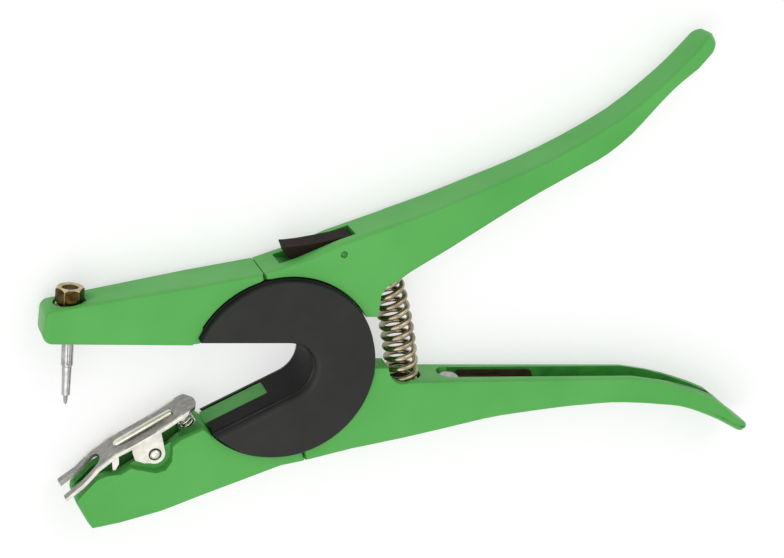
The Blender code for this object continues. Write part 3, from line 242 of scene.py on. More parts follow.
# %% [markdown]
# A finish is then told in a few words: its two tones and the size of their blotches, its
# roughness, or the two values and the patches that it goes between, and its relief, with the
# depth in millimetres, the strength and the grain. Metals keep the shader's usual IOR.

# %% A new finish
def new_finish(
    name, tones, blotch, roughness, patch=None, relief=None, metallic=0.0, ior=None, specular=None
):
    """A finish of two tones, with one roughness or patches between two, and a fine relief."""
    finish = bpy.data.materials.new(name)
    finish.use_nodes = True
    tree = finish.node_tree
    shader = tree.nodes["Principled BSDF"]
    where = add_node(tree, "ShaderNodeTexCoord").outputs["Object"]
    dark, light = tones
    two_tone = {"data_type": "RGBA", "blend_type": "MIX", 6: hex_colour(dark), 7: hex_colour(light)}
    share = blotches(tree, where, between=(0.0, 1.0), **blotch)
    mixed = add_node(tree, "ShaderNodeMix", two_tone, {0: share})
    tree.links.new(mixed.outputs[2], shader.inputs["Base Color"])
    if patch:
        tree.links.new(blotches(tree, where, between=roughness, **patch), shader.inputs["Roughness"])
    else:
        shader.inputs["Roughness"].default_value = roughness
    if relief:
        depth_mm, strength, grain = relief
        pressed = {"Strength": strength, "Distance": depth_mm * MM}
        bump = add_node(tree, "ShaderNodeBump", pressed, {"Height": blotches(tree, where, **grain)})
        tree.links.new(bump.outputs["Normal"], shader.inputs["Normal"])
    for socket, value in (("Metallic", metallic), ("IOR", ior), ("Specular IOR Level", specular)):
        if value is not None:
            shader.inputs[socket].default_value = value
    print(name, "from", dark, "to", light)
    return finish


# %% [markdown]
# Green enamel over die-cast aluminium: sprayed and baked, so it is smooth, half glossy, and has
# a faint orange peel about a millimetre across. It pools a touch darker where it is thick.

# %% Green enamel
green = new_finish(
    "baked green enamel", ("#50A54C", "#5BAE56"), {"size_mm": 30.0}, (0.34, 0.44), {"size_mm": 12.0},
    relief=(0.05, 0.25, {"size_mm": 1.1}), ior=1.5, specular=0.22,
)

# %% [markdown]
# The bottoms of the slots and the channel stand in shade, so they get a darker green: painted shade.

# %% Green enamel with painted shade
shaded_green = new_finish(
    "green enamel with painted shade", ("#2A7829", "#399639"), {"size_mm": 8.0}, 0.5,
    relief=(0.05, 0.3, {"size_mm": 1.1}), ior=1.5,
)

# %% [markdown]
# The hub's cover is moulded from a black nylon. The mould was spark eroded, which leaves a fine
# matt grain and a soft grey sheen.

# %% Black nylon
nylon = new_finish(
    "moulded black nylon", ("#151514", "#1E1E1C"), {"size_mm": 14.0},
    (0.46, 0.62), {"size_mm": 9.0, "detail": 3.0, "half": 0.15},
    relief=(0.03, 0.35, {"size_mm": 0.5}), ior=1.53, specular=0.3,
)

# %% [markdown]
# The lining of the throat is the same nylon, but it is worn dull by the ears that pass it, and it stands
# in the shade, so its colour is painted nearly black: painted shade.

# %% Black nylon with painted shade
lining = new_finish(
    "black nylon with painted shade", ("#090908", "#121211"), {"size_mm": 10.0}, 0.6,
    relief=(0.03, 0.35, {"size_mm": 0.5}), ior=1.53, specular=0.15,
)

# %% [markdown]
# The clip is stamped from sheet steel and tumbled, then plated. It is a warm grey, with long
# faint scratches and a blurred shine. The scratches are blotches that are stretched along it.

# %% Stamped steel
SCRATCHES = {"size_mm": 1.2, "detail": 3.0, "stretch": (0.12, 1.0, 1.0), "turn": radians(-35)}
stamped = new_finish(
    "tumbled stamped steel", ("#7E7C79", "#A2A09B"), SCRATCHES, (0.28, 0.44), {"size_mm": 5.0},
    relief=(0.02, 0.25, SCRATCHES), metallic=1.0,
)

# %% [markdown]
# The clip's edges, ears and bead are painted paler and a bit creamy: a painted highlight, for the light
# that they catch.

# %% Painted highlight on the stamping
highlit_steel = new_finish(
    "stamped steel with painted highlight", ("#D2CEC2", "#ECE9DF"), {"size_mm": 3.0}, 0.3,
    relief=(0.02, 0.2, {"size_mm": 0.8}), metallic=1.0,
)

# %% [markdown]
# Turned steel for the pins and rivets: bright, with fine lathe marks and a little bluer than
# the clip.

# %% Turned steel
turned = new_finish(
    "turned steel", ("#9B9A99", "#BDBCBA"), {"size_mm": 2.0}, 0.28,
    relief=(0.01, 0.2, {"size_mm": 0.3}), metallic=1.0,
)

# %% [markdown]
# Spring wire is drawn through a die, coiled, then nickel plated: smooth and bright, with a
# yellowish cast where the plating is thin.

# %% Nickel wire
nickel = new_finish(
    "nickel plated wire", ("#84765F", "#B4A78F"), {"size_mm": 6.0}, (0.16, 0.3), {"size_mm": 1.5},
    metallic=1.0,
)

# %% [markdown]
# Yellow zinc, the passivated plating of common nuts: bronze, mottled, duller in the corners.

# %% Yellow zinc
zinc = new_finish(
    "yellow passivated zinc", ("#A28F66", "#CDBE94"), {"size_mm": 2.2, "detail": 3.0, "half": 0.15},
    (0.22, 0.4), {"size_mm": 1.0}, metallic=1.0,
)

# %% [markdown]
# The flats of the nut are painted darker than its rims: painted shade, for the dark that they mirror.

# %% Yellow zinc with painted shade
shaded = new_finish(
    "browned zinc", ("#33260F", "#5C4A26"), {"size_mm": 2.0, "detail": 3.0, "half": 0.15}, 0.34,
    relief=(0.02, 0.3, {"size_mm": 0.7}), metallic=1.0,
)

# %% [markdown]
# The plate and screws on the back are steel, blackened by oxide and oiled.

# %% Blackened steel
black_oxide = new_finish(
    "black oxide steel", ("#262422", "#3A3633"), {"size_mm": 4.0}, 0.42,
    relief=(0.02, 0.3, {"size_mm": 0.6}), metallic=0.8,
)

# %% [markdown]
# The lever is moulded from a brown-black nylon, dull and a bit uneven where the thumb rubs it.

# %% Brown nylon
brown = new_finish(
    "moulded brown-black nylon", ("#150E0A", "#221711"), {"size_mm": 5.0}, 0.62,
    relief=(0.03, 0.3, {"size_mm": 0.6}), ior=1.53, specular=0.1,
)

# %% [markdown]
# The spare pin's holder is the same nylon. It has lain in the light and dust of the channel, so
# it has turned browner.

# %% Faded brown nylon
faded = new_finish(
    "faded brown nylon", ("#281C10", "#403020"), {"size_mm": 7.0}, 0.62,
    relief=(0.03, 0.3, {"size_mm": 0.6}), ior=1.53, specular=0.15,
)

# %% [markdown]
# Every solid gets its finish first, by the name of its node. The pieces modelled further down
# then stand for some of them.

# %% Finishes on the solids
FINISHES = {
    "fixed_casting": green, "moving_casting": green, "hub_cover": nylon, "throat_bush": lining,
    "hub_plate": black_oxide, "hub_screw_1": black_oxide, "hub_screw_2": black_oxide,
    "hub_screw_3": black_oxide, "hub_bush_1": turned, "hub_bush_2": turned, "hub_bush_3": turned,
    "applicator_pin": turned, "pin_washer": zinc, "pin_nut": zinc, "main_spring": nickel,
    "clip_spring": nickel, "lever_spring": nickel, "pin_retainer": faded, "retainer_screw": turned,
    "spare_pin": turned, "clip_pin": turned, "clip_pin_ring": turned, "lever_pin": green,
    "tag_clip": stamped, "catch_lever": brown,
}
for node_name, finish in FINISHES.items():
    mesh = nodes[node_name].data
    mesh.materials.clear()
    mesh.materials.append(finish)
print(len(FINISHES), "solids finished of", len(nodes))

# %% [markdown]
# ## Soft edges
#
# Die casting, moulding and stamping all leave small round edges, and paint makes them rounder.
# They catch the light, and without them a part looks like a drawing. The solids' edges are
# sharp where one was cut from another, so a copy of each gets a fine bevel. The copy is merged
# first, because a node's triangles are loose, and its flat areas are joined to single faces, so
# that the bevel has clean edges to follow. Places are given in millimetres from the middle of
# the hub, as on a drawing of the tool.

# %% Places, pieces and selections
HUB = Vector((-20.5, 0.0, 10.3)) * MM


def at(x, y, z=0.0):
    """A place in millimetres from the middle of the hub, in metres."""
    return HUB + Vector((x, y, z)) * MM


def from_hub(place):
    """The way back: a place in metres, in millimetres from the middle of the hub."""
    return (place - HUB) / MM


def new_piece(name, data):
    """An object for this mesh or curve, selected alone."""
    piece = bpy.data.objects.new(name, data)
    bpy.context.scene.collection.objects.link(piece)
    alone(piece)
    return piece


def alone(obj):
    """Selects this object only, and makes it the active one."""
    bpy.ops.object.select_all(action="DESELECT")
    obj.select_set(True)
    bpy.context.view_layer.objects.active = obj


def open_all(piece):
    """Opens a piece in edit mode, with all of it selected."""
    alone(piece)
    bpy.ops.object.mode_set(mode="EDIT")
    bpy.ops.mesh.select_all(action="SELECT")


def close():
    """Leaves edit mode."""
    bpy.ops.object.mode_set(mode="OBJECT")


print("hub at", [round(x, 4) for x in HUB])

# %% [markdown]
# The copy is merged and flattened in edit mode. The bevel is a modifier, applied at once, and
# weighted normals then keep the flat faces flat in the light, beside their round edges.

# %% Merged and softened copies
MERGE_MM = 0.002
FLAT_DEGREES = 0.5


def merged_copy(node_name, name):
    """A copy of a solid, with its loose triangles merged and its flat areas joined."""
    piece = new_piece(name, nodes[node_name].data.copy())
    open_all(piece)
    bpy.ops.mesh.remove_doubles(threshold=MERGE_MM * MM)
    bpy.ops.mesh.dissolve_limited(angle_limit=radians(FLAT_DEGREES))
    close()
    return piece


def soften(piece, width_mm, segments=2, edge_degrees=38.0):
    """Rounds a piece's sharp edges, and shades it smooth over the shallow ones."""
    alone(piece)
    bevel = piece.modifiers.new("soft edges", "BEVEL")
    bevel.limit_method = "ANGLE"
    bevel.angle_limit = radians(edge_degrees)
    bevel.width = width_mm * MM
    bevel.segments = segments
    bpy.ops.object.modifier_apply(modifier=bevel.name)
    bpy.ops.object.shade_smooth_by_angle(angle=radians(edge_degrees))
    weighted = piece.modifiers.new("flat faces stay flat", "WEIGHTED_NORMAL")
    weighted.keep_sharp = True
    bpy.ops.object.modifier_apply(modifier=weighted.name)


# %% [markdown]
# The handles end in round noses. Each end is cut by a few planes square to the handle, and the
# rings between them are drawn in towards the handle's middle line, as the slices of a ball are.

# %% Round noses on the handles
NOSE_CUTS = (0.02, 0.16, 0.3, 0.42, 0.54, 0.64, 0.73, 0.81, 0.88, 0.94)
NOSE_LEAST = 0.3
NOSE_REACH = 4
NOSES = {
    "moving_casting": {
        "tip": at(137.9, 117.9), "direction": (0.594, 0.804), "radius": 4.8 * MM,
        "middle": at(136.4, 115.7), "squeeze": 0.6,
    },
    "fixed_casting": {
        "tip": at(182.3, -26.9), "direction": (0.743, -0.669), "radius": 4.2 * MM,
        "middle": at(181.0, -26.2), "squeeze": 0.25,
    },
}
print("noses for", ", ".join(NOSES))


def round_nose(piece, tip, direction, radius, middle, squeeze):
    """Draws the end of a handle in to a round nose, from its middle line outwards."""
    along_it = Vector((*direction, 0.0)).normalized()
    across = Vector((-along_it.y, along_it.x, 0.0))
    end = tip.dot(along_it)
    open_all(piece)
    for share in NOSE_CUTS:
        bpy.ops.mesh.select_all(action="SELECT")
        bpy.ops.mesh.bisect(plane_co=tip - along_it * radius * (1 - share), plane_no=along_it)
    close()
    moved = 0
    for vertex in piece.data.vertices:
        share = 1 - (end - vertex.co.dot(along_it)) / radius
        if share <= 0 or (vertex.co - tip).length > NOSE_REACH * radius:
            continue
        keep = max(NOSE_LEAST, (1 - min(share, 1.0) ** 2) ** 0.5)
        aside = (vertex.co - middle).dot(across)
        vertex.co -= across * aside * (1 - keep) * squeeze
        vertex.co.z = HUB.z + (vertex.co.z - HUB.z) * keep
        moved += 1
    print(piece.name, "nose drawn in over", moved, "points")


# %% [markdown]
# The lower jaw's front corners are rounder than its other edges. They get a wide bevel of their
# own before the fine one, on edges that are picked by where both their ends lie.

# %% Round corners on the lower jaw
JAW_CORNERS = ((-57.8, -57.7, 2.6), (-64.0, -47.6, 1.2))
CORNER_NEAR = 1.2
CORNER_LONG = 4
CORNER_STEPS = 4


def round_corner(piece, x, y, radius_mm):
    """Rounds the edges that run through the casting at this corner of its outline."""
    corner = Vector((x, y))
    open_all(piece)
    bpy.ops.mesh.select_mode(type="EDGE")
    bpy.ops.mesh.select_all(action="DESELECT")
    close()
    picked = 0
    for edge in piece.data.edges:
        a, b = [from_hub(piece.data.vertices[i].co) for i in edge.vertices]
        near = all((end.xy - corner).length < CORNER_NEAR for end in (a, b))
        edge.select = near and abs(a.z - b.z) > CORNER_LONG
        picked += edge.select
    bpy.ops.object.mode_set(mode="EDIT")
    bpy.ops.mesh.bevel(offset=radius_mm * MM, segments=CORNER_STEPS, profile=0.5, affect="EDGES")
    close()
    print(piece.name, "bevelled", picked, "edges")


# %% [markdown]
# The clip's rear is round, for the thumb that presses it. The solid's is cut by a few straight
# lines, so it is sliced along its length, and what stands outside half an ellipse is drawn in,
# down the slope of the sheet.

# %% The clip's round rear
REAR_START = -30.5
REAR_REACH = 4.6
REAR_HALF = 6.6
REAR_SLOPE = 0.38


def round_rear(piece):
    """Rounds the clip's rear: no point of it stays outside half an ellipse."""
    open_all(piece)
    for z in range(-3, 4):
        bpy.ops.mesh.select_all(action="SELECT")
        bpy.ops.mesh.bisect(plane_co=at(0, 0, z), plane_no=(0, 0, 1))
    close()
    for vertex in piece.data.vertices:
        x, y, z = from_hub(vertex.co)
        if x > REAR_START:
            reach = REAR_REACH * max(1 - (z / REAR_HALF) ** 2, 0.0) ** 0.5
            beyond = max(x - REAR_START - reach, 0.0)
            vertex.co = at(x - beyond, y - REAR_SLOPE * beyond, z)


# %% [markdown]
# Now each solid that shows gets its softened copy. The table gives the copy's name, the body it
# rides on, the width of its bevel in millimetres, and its slot. Shaping comes before the bevel,
# so that the new edges are softened too.

# %% The softened pieces
SOFT_COPIES = {
    "fixed_casting": ("jaw_and_handle_fixed", "frame_arm", 0.35, "green_paint"),
    "moving_casting": ("jaw_and_handle_moving", "moving_arm", 0.35, "green_paint"),
    "throat_bush": ("throat_moulding", "frame_arm", 0.2, "black_moulding"),
    "tag_clip": ("clip_stamping", "clip", 0.25, "bright_steel"),
    "catch_lever": ("lever_moulding", "lever", 0.4, "brown_black"),
    "pin_retainer": ("saddle_moulding", "frame_arm", 0.25, "brown_black"),
    "pin_nut": ("hexagon_nut", "frame_arm", 0.15, "yellow_zinc"),
    "pin_washer": ("plain_washer", "frame_arm", 0.15, "yellow_zinc"),
    "applicator_pin": ("marking_pin", "frame_arm", 0.08, "bright_steel"),
    "clip_pin": ("clip_rivet", "moving_arm", 0.25, "bright_steel"),
    "hub_plate": ("back_plate", "frame_arm", 0.3, "black_steel"),
    "retainer_screw": ("saddle_screw", "frame_arm", 0.25, "bright_steel"),
}
softened = {}
for node_name, (piece_name, body, width_mm, slot) in SOFT_COPIES.items():
    piece = merged_copy(node_name, piece_name)
    if node_name == "moving_casting":
        for x, y, radius_mm in JAW_CORNERS:
            round_corner(piece, x, y, radius_mm)
    if node_name == "tag_clip":
        round_rear(piece)
    if node_name in NOSES:
        round_nose(piece, **NOSES[node_name])
    soften(piece, width_mm)
    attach(piece, body)
    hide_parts(node_name)
    softened[node_name] = piece
    print(piece_name, len(piece.data.polygons), "faces")

# %% [markdown]
# The lever's slot, the channel of the lower handle and the foot of the clip's spring stand in shade, so
# only faces there get the darker green, as painted shade. The clip's ears and its long edges get the paler
# steel in the same way, as a painted highlight.

# %% Another finish on some faces
def refinish(piece, finish, wanted):
    """Gives another finish to the faces that the test picks, by their middle in millimetres
    from the hub, their normal and their area in square millimetres."""
    piece.data.materials.append(finish)
    last = len(piece.data.materials) - 1
    count = 0
    for face in piece.data.polygons:
        if wanted(from_hub(face.center), face.normal, face.area / MM / MM):
            face.material_index = last
            count += 1
    print(piece.name, finish.name, "on", count, "faces")


def in_box(x, y, z):
    """A test for faces whose middle lies in these ranges."""
    return lambda middle, normal, area: (
        x[0] < middle.x < x[1] and y[0] < middle.y < y[1] and z[0] < middle.z < z[1]
    )


in_lever_slot = in_box((-4.4, 20.5), (33.9, 47.5), (-4.36, 4.36))
in_channel = in_box((58.3, 166.0), (-17.0, -5.6), (-4.36, 4.36))
in_spring_well = in_box((-36.0, -26.0), (-30.0, -22.0), (-5.0, 5.0))
SLOT_FLOOR_Y = 35
CLIP_SIDE_Z = 4.8


def slot_walls(middle, normal, area):
    """The walls and floor of the lever's slot, and not the top of the handle beside it."""
    upright = abs(normal.z) > 0.9 or abs(normal.x) > 0.8
    return in_lever_slot(middle, normal, area) and (upright or middle.y < SLOT_FLOOR_Y)


def channel_walls(middle, normal, area):
    """The walls and floor of the channel, and not the handle's underside."""
    return in_channel(middle, normal, area) and normal.y > -0.5


def clip_ears(middle, normal, area):
    """The clip's ears and edges: what faces sideways at its sides."""
    return abs(normal.z) > 0.6 and abs(middle.z) > CLIP_SIDE_Z


refinish(softened["moving_casting"], shaded_green, slot_walls)
refinish(softened["fixed_casting"], shaded_green, channel_walls)
refinish(softened["tag_clip"], highlit_steel, clip_ears)
refinish(softened["moving_casting"], shaded_green, in_spring_well)

# %% [markdown]
# The upper jaw's underside runs on to the cover's corner. The solid stops short of it, so a small
# heel is drawn on here, against the cover's foot. It is a flat outline that is extruded, which is
# how the other thin walls further down are made too.

# %% The heel of the upper jaw
HEEL = (
    (-33.2, 8.05), (-28.9, 8.7), (-28.4, 9.2), (-28.3, 10.3), (-28.4, 14.0), (-29.4, 15.2), (-33.2, 9.6),
)
HEEL_LOW, HEEL_HIGH = 0.4, 8.6


def slab(name, outline, low, high, finish):
    """A flat outline, in millimetres from the hub's middle, drawn out along Z."""
    mesh = bpy.data.meshes.new(name)
    mesh.from_pydata([at(x, y, low) for x, y in outline], [], [range(len(outline))])
    piece = new_piece(name, mesh)
    open_all(piece)
    bpy.ops.mesh.extrude_region_move(TRANSFORM_OT_translate={"value": (0, 0, (high - low) * MM)})
    bpy.ops.mesh.select_all(action="SELECT")
    bpy.ops.mesh.normals_make_consistent(inside=False)
    close()
    piece.data.materials.append(finish)
    return piece


heel = slab("jaw_heel", HEEL, HEEL_LOW, HEEL_HIGH, green)
soften(heel, 0.2)
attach(heel, "frame_arm")
print("heel", round(HEEL_HIGH - HEEL_LOW, 1), "mm thick")

# %% [markdown]
# The lower jaw stands up to the clip's fork in two rims, one on each side of the trough for the tag, and a
# web behind the fork closes the view through it. The web stands in the clip's shade, so it gets the darker
# green: painted shade.

# %% The rims of the lower jaw
RIM = (
    (-63.2, -48.6), (-63.3, -46.7), (-61.0, -43.7), (-57.6, -39.7), (-54.6, -38.3), (-49.4, -37.7),
    (-49.4, -40.0), (-57.0, -47.4),
)
WEB = (
    (-62.8, -46.6), (-62.9, -45.3), (-61.0, -43.5), (-56.6, -38.1), (-51.3, -33.4), (-48.4, -32.0),
    (-46.9, -36.2), (-50.0, -40.2), (-59.8, -47.2),
)
JAW_WALLS = {
    "jaw_rim_near": (RIM, 3.4, 7.4, green),
    "jaw_rim_far": (RIM, -7.4, -3.4, green),
    "jaw_web": (WEB, -5.2, -3.4, shaded_green),
}
for name, (outline, low, high, finish) in JAW_WALLS.items():
    wall = slab(name, outline, low, high, finish)
    soften(wall, 0.3)
    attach(wall, "moving_arm")
    print(name, round(high - low, 1), "mm thick")

# %% [markdown]
# ## Nut and pin
#
# The pin's threaded end stops a little below the top of its nut, and its last part is painted dark:
# painted shade in the nut's mouth. The solid pin is longer, so it is cut off by a plane and filled.

# %% The pin's end
PIN_ROOT = at(-69.6, 7.0)
PIN_UP = Vector((-0.0427, 0.9991, 0.0)).normalized()
PIN_END = 17.0
DARK_END_LENGTH = 1.5


def on_pin(height_mm):
    """A place on the pin's axis, at this height above its root."""
    return PIN_ROOT + PIN_UP * height_mm * MM


def dark_pin_end(middle, normal, area):
    """The last of the pin, inside the nut's mouth."""
    return (middle * MM + HUB - PIN_ROOT).dot(PIN_UP) > (PIN_END - DARK_END_LENGTH) * MM


pin = softened["applicator_pin"]
open_all(pin)
bpy.ops.mesh.bisect(plane_co=on_pin(PIN_END), plane_no=PIN_UP, use_fill=True, clear_outer=True)
close()
refinish(pin, black_oxide, dark_pin_end)

# %% [markdown]
# A nut is turned before it is tapped: its corners are chamfered, and its thread is countersunk.
# Both are cut as a lathe would. A round barrel with bevelled rims keeps what it shares with the
# nut, and a cone takes the nut's mouth away.

# %% The nut's corners and mouth
NUT_LOW, NUT_TOP = 12.4, 17.7
CHAMFER_R, CHAMFER = 4.72, 1.25
MOUTH_INNER_R, MOUTH_OUTER_R = 1.9, 3.5
MOUTH_DEPTH, MOUTH_DROP = 1.6, 0.3
FLAT_AREA = 5


def nut_flat(middle, normal, area):
    """The nut's six flats: large faces that stand along its axis."""
    return abs(normal.dot(PIN_UP)) < 0.1 and area > FLAT_AREA


def cut_with(piece, tool, operation):
    """Keeps what a piece shares with a tool, or takes the tool from it. The tool is used up."""
    alone(piece)
    cutting = piece.modifiers.new("cut", "BOOLEAN")
    cutting.object = tool
    cutting.operation = operation
    cutting.solver = "EXACT"
    bpy.ops.object.modifier_apply(modifier=cutting.name)
    bpy.data.objects.remove(tool)


nut = softened["pin_nut"]
upright = Vector((0, 0, 1)).rotation_difference(PIN_UP).to_matrix().to_4x4()
bpy.ops.object.select_all(action="DESELECT")
nut_height = (NUT_TOP - NUT_LOW) * MM
bpy.ops.mesh.primitive_cylinder_add(vertices=48, radius=CHAMFER_R * MM, depth=nut_height)
barrel = bpy.context.active_object
rounding = barrel.modifiers.new("rounding", "BEVEL")
rounding.width = CHAMFER * MM
rounding.segments = 3
rounding.limit_method = "ANGLE"
rounding.angle_limit = radians(60)
bpy.ops.object.modifier_apply(modifier=rounding.name)
barrel.matrix_world = Matrix.Translation(on_pin((NUT_LOW + NUT_TOP) / 2)) @ upright
cut_with(nut, barrel, "INTERSECT")

bpy.ops.object.select_all(action="DESELECT")
bpy.ops.mesh.primitive_cone_add(
    vertices=32, radius1=MOUTH_INNER_R * MM, radius2=MOUTH_OUTER_R * MM, depth=MOUTH_DEPTH * MM
)
mouth = bpy.context.active_object
mouth.matrix_world = Matrix.Translation(on_pin(NUT_TOP - MOUTH_DROP)) @ upright
cut_with(nut, mouth, "DIFFERENCE")

bpy.ops.object.shade_smooth_by_angle(angle=radians(30))
# The flats get the darker zinc: painted shade.
refinish(nut, shaded, nut_flat)
print("nut of", len(nut.data.polygons), "faces")

# %% [markdown]
# ## Screws and small pins
#
# The plate's three screws have cross recesses. Each is cut by two crossed wedges that taper
# inwards, as the real driver's tip does.

# %% Cross recesses in the plate's screws
RECESS_LENGTH, RECESS_WIDTH, RECESS_DEPTH = 3.0, 0.75, 1.1
RECESS_TURN = 0.4
TIP_LENGTH, TIP_WIDTH = 0.4, 0.6


def driver_wedge(middle, turn):
    """One wedge of a cross driver, across this place and tapering upwards."""
    bpy.ops.object.select_all(action="DESELECT")
    bpy.ops.mesh.primitive_cube_add(size=1.0, location=middle, rotation=(0, 0, turn))
    wedge = bpy.context.active_object
    wedge.scale = Vector((RECESS_LENGTH, RECESS_WIDTH, 2 * RECESS_DEPTH)) * MM
    bpy.ops.object.transform_apply(location=False, rotation=False, scale=True)
    for vertex in wedge.data.vertices:
        if vertex.co.z > 0:
            vertex.co.x *= TIP_LENGTH
            vertex.co.y *= TIP_WIDTH
    return wedge


for number in (1, 2, 3):
    node_name = f"hub_screw_{number}"
    screw = merged_copy(node_name, f"plate_screw_{number}")
    soften(screw, 0.12)
    low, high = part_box(node_name)
    middle = Vector(((low[0] + high[0]) / 2, (low[1] + high[1]) / 2, low[2]))
    for turn in (RECESS_TURN, RECESS_TURN + pi / 2):
        cut_with(screw, driver_wedge(middle, turn), "DIFFERENCE")
    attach(screw, "frame_arm")
    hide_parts(node_name)
    print(screw.name, len(screw.data.polygons), "faces")

# %% [markdown]
# The clip's rivet has a small flat head, painted paler like the clip's edges, as a painted highlight. The
# solid's head is a bit wide, so its rim is drawn in. A dark ring round it on the clip's ear is a painted
# shadow, for the shade in the gap round the head.

# %% The clip's rivet
RIVET = at(-39.104, -31.216)
HEAD_LOW, HEAD_R = 6.0, 1.7
HEAD_SHRINK = 0.8
EAR_FACE = 6.46
SHADE_RING_R, SHADE_RING_WIDTH, SHADE_RING_FLATNESS = 1.95, 0.22, 0.35

rivet = softened["clip_pin"]
for vertex in rivet.data.vertices:
    if from_hub(vertex.co).z > HEAD_LOW and (vertex.co - RIVET).xy.length > HEAD_R * MM:
        vertex.co.xy = RIVET.xy + (vertex.co - RIVET).xy * HEAD_SHRINK
refinish(rivet, highlit_steel, lambda middle, *rest: abs(middle.z) > HEAD_LOW)

bpy.ops.object.select_all(action="DESELECT")
bpy.ops.mesh.primitive_torus_add(
    location=RIVET + Vector((0, 0, EAR_FACE * MM)), major_segments=40, minor_segments=8,
    major_radius=SHADE_RING_R * MM, minor_radius=SHADE_RING_WIDTH * MM
)
shade_ring = bpy.context.active_object
shade_ring.name = "rivet_ring"
shade_ring.scale = (1.0, 1.0, SHADE_RING_FLATNESS)
bpy.ops.object.transform_apply(location=True, rotation=True, scale=True)
bpy.ops.object.shade_smooth()
shade_ring.data.materials.append(black_oxide)
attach(shade_ring, "clip")

# %% [markdown]
# The lever's cross pin is driven in a little below the surface and painted over with the casting, so only
# a dimple shows. Its two ends are inset and pushed in, and the dimple gets the darker green as painted
# shade.

# %% The lever's pin
DIMPLE_RIM, DIMPLE_DEPTH = 0.12, 0.55
DIMPLE_FLOOR, DIMPLE_RISE = 0.35, 0.3
DIMPLE_LOW, CASTING_FACE = 7.5, 8.75

dimpled = merged_copy("lever_pin", "lever_cross_pin")
open_all(dimpled)
bpy.ops.mesh.select_mode(type="FACE")
for end_z in (1, -1):
    bpy.ops.mesh.select_all(action="DESELECT")
    close()
    for face in dimpled.data.polygons:
        face.select = face.normal.z * end_z > 0.9
    bpy.ops.object.mode_set(mode="EDIT")
    bpy.ops.mesh.inset(thickness=DIMPLE_RIM * MM)
    bpy.ops.transform.translate(value=(0, 0, -DIMPLE_DEPTH * MM * end_z))
    bpy.ops.mesh.inset(thickness=DIMPLE_FLOOR * MM)
    bpy.ops.transform.translate(value=(0, 0, DIMPLE_RISE * MM * end_z))
close()
bpy.ops.object.shade_smooth_by_angle(angle=radians(35))
refinish(dimpled, shaded_green, lambda middle, *rest: DIMPLE_LOW < abs(middle.z) < CASTING_FACE)
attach(dimpled, "moving_arm")
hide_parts("lever_pin")

# %% [markdown]
# The holder of the spare pin is a tray: two thin cheeks stand up from it along the channel's
# walls, and hide the paint there.

# %% The cheeks of the tray
CHEEK = ((67.2, -12.6), (96.2, -12.6), (96.2, -8.9), (95.2, -6.7), (93.6, -6.3), (67.2, -6.3))
CHEEKS = {"saddle_cheek_near": (3.55, 4.15), "saddle_cheek_far": (-4.15, -3.55)}
for name, (low, high) in CHEEKS.items():
    cheek = slab(name, CHEEK, low, high, faded)
    soften(cheek, 0.15)
    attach(cheek, "frame_arm")
    print(name, "of", len(cheek.data.polygons), "faces")

# %% [markdown]
# ## Clip
#
# The clip is pressed from 1.2 mm sheet: a fork in front, whose two prongs stand a little apart,
# a round rear for the thumb, turned-down edges that stiffen it, and a long bead along its middle.
# The fork is opened by moving the walls of its slot and spreading its prongs towards their tips.

# %% The clip's fork
FORK_END_X = -51.0
FORK_LENGTH = 17.0
PRONG_SPREAD = 1.1
SLOT_HALF = 3.35
SLOT_END_X, SLOT_LOW_Y = -53.6, -46.9
SLOT_WIDENING = 1.28


def spread_prong(x, z):
    """How far from the middle a point of the fork goes, which grows towards the tips."""
    forward = (FORK_END_X - x) / FORK_LENGTH
    return z + (PRONG_SPREAD if z > 0 else -0.5 * PRONG_SPREAD) * forward ** 2


clip = softened["tag_clip"]
for vertex in clip.data.vertices:
    x, y, z = from_hub(vertex.co)
    if x <= FORK_END_X:
        if abs(z) <= SLOT_HALF and y > SLOT_LOW_Y and x < SLOT_END_X:
            z *= SLOT_WIDENING
        vertex.co = at(x, y, spread_prong(x, z))
print("clip fork opened")

# %% [markdown]
# The bead is a long drop of metal: a ball whose two halves are drawn apart and flattened.

# %% The clip's bead
BEAD_START, BEAD_END = at(-50.6, -29.6, 0.5), at(-34.6, -19.35, 0.5)
BEAD_WIDTH, BEAD_HEIGHT = 2.9, 1.1

bpy.ops.object.select_all(action="DESELECT")
bpy.ops.mesh.primitive_uv_sphere_add(segments=24, ring_count=12, radius=0.5 * BEAD_WIDTH * MM)
rib = bpy.context.active_object
rib.name = "clip_bead"
run = BEAD_END - BEAD_START
for vertex in rib.data.vertices:
    vertex.co.y *= BEAD_HEIGHT / BEAD_WIDTH * 2
    vertex.co.x += run.length / 2 * (1 if vertex.co.x > 0 else -1)
along_it = run.normalized()
up = Vector((-along_it.y, along_it.x, 0.0))
turn = Matrix((along_it, up, along_it.cross(up))).transposed().to_4x4()
rib.matrix_world = Matrix.Translation((BEAD_START + BEAD_END) / 2) @ turn
bpy.ops.object.transform_apply(location=True, rotation=True, scale=True)
bpy.ops.object.shade_smooth()
# The bead gets the paler steel: a painted highlight.
rib.data.materials.append(highlit_steel)
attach(rib, "clip")
print("bead", round(run.length / MM, 1), "mm long")

# %% [markdown]
# The turned-down edges follow the clip's top from its tips to its rear. Each is a narrow slab under that
# line, and its front is spread with the prong it lies on. Their steel is paler: a painted highlight.

# %% The clip's turned edges
CLIP_LINE = (
    (-61.8, -41.0), (-57.73, -36.0), (-52.16, -31.04), (-47.94, -28.68), (-41.54, -24.7),
    (-35.07, -20.19), (-31.2, -17.1),
)
EDGE_DROP = 1.5
DROP_X, DROP_Y = 0.35, -0.8
CLIP_EDGES = {"clip_edge_near": (5.5, 6.55), "clip_edge_far": (-6.55, -5.5)}

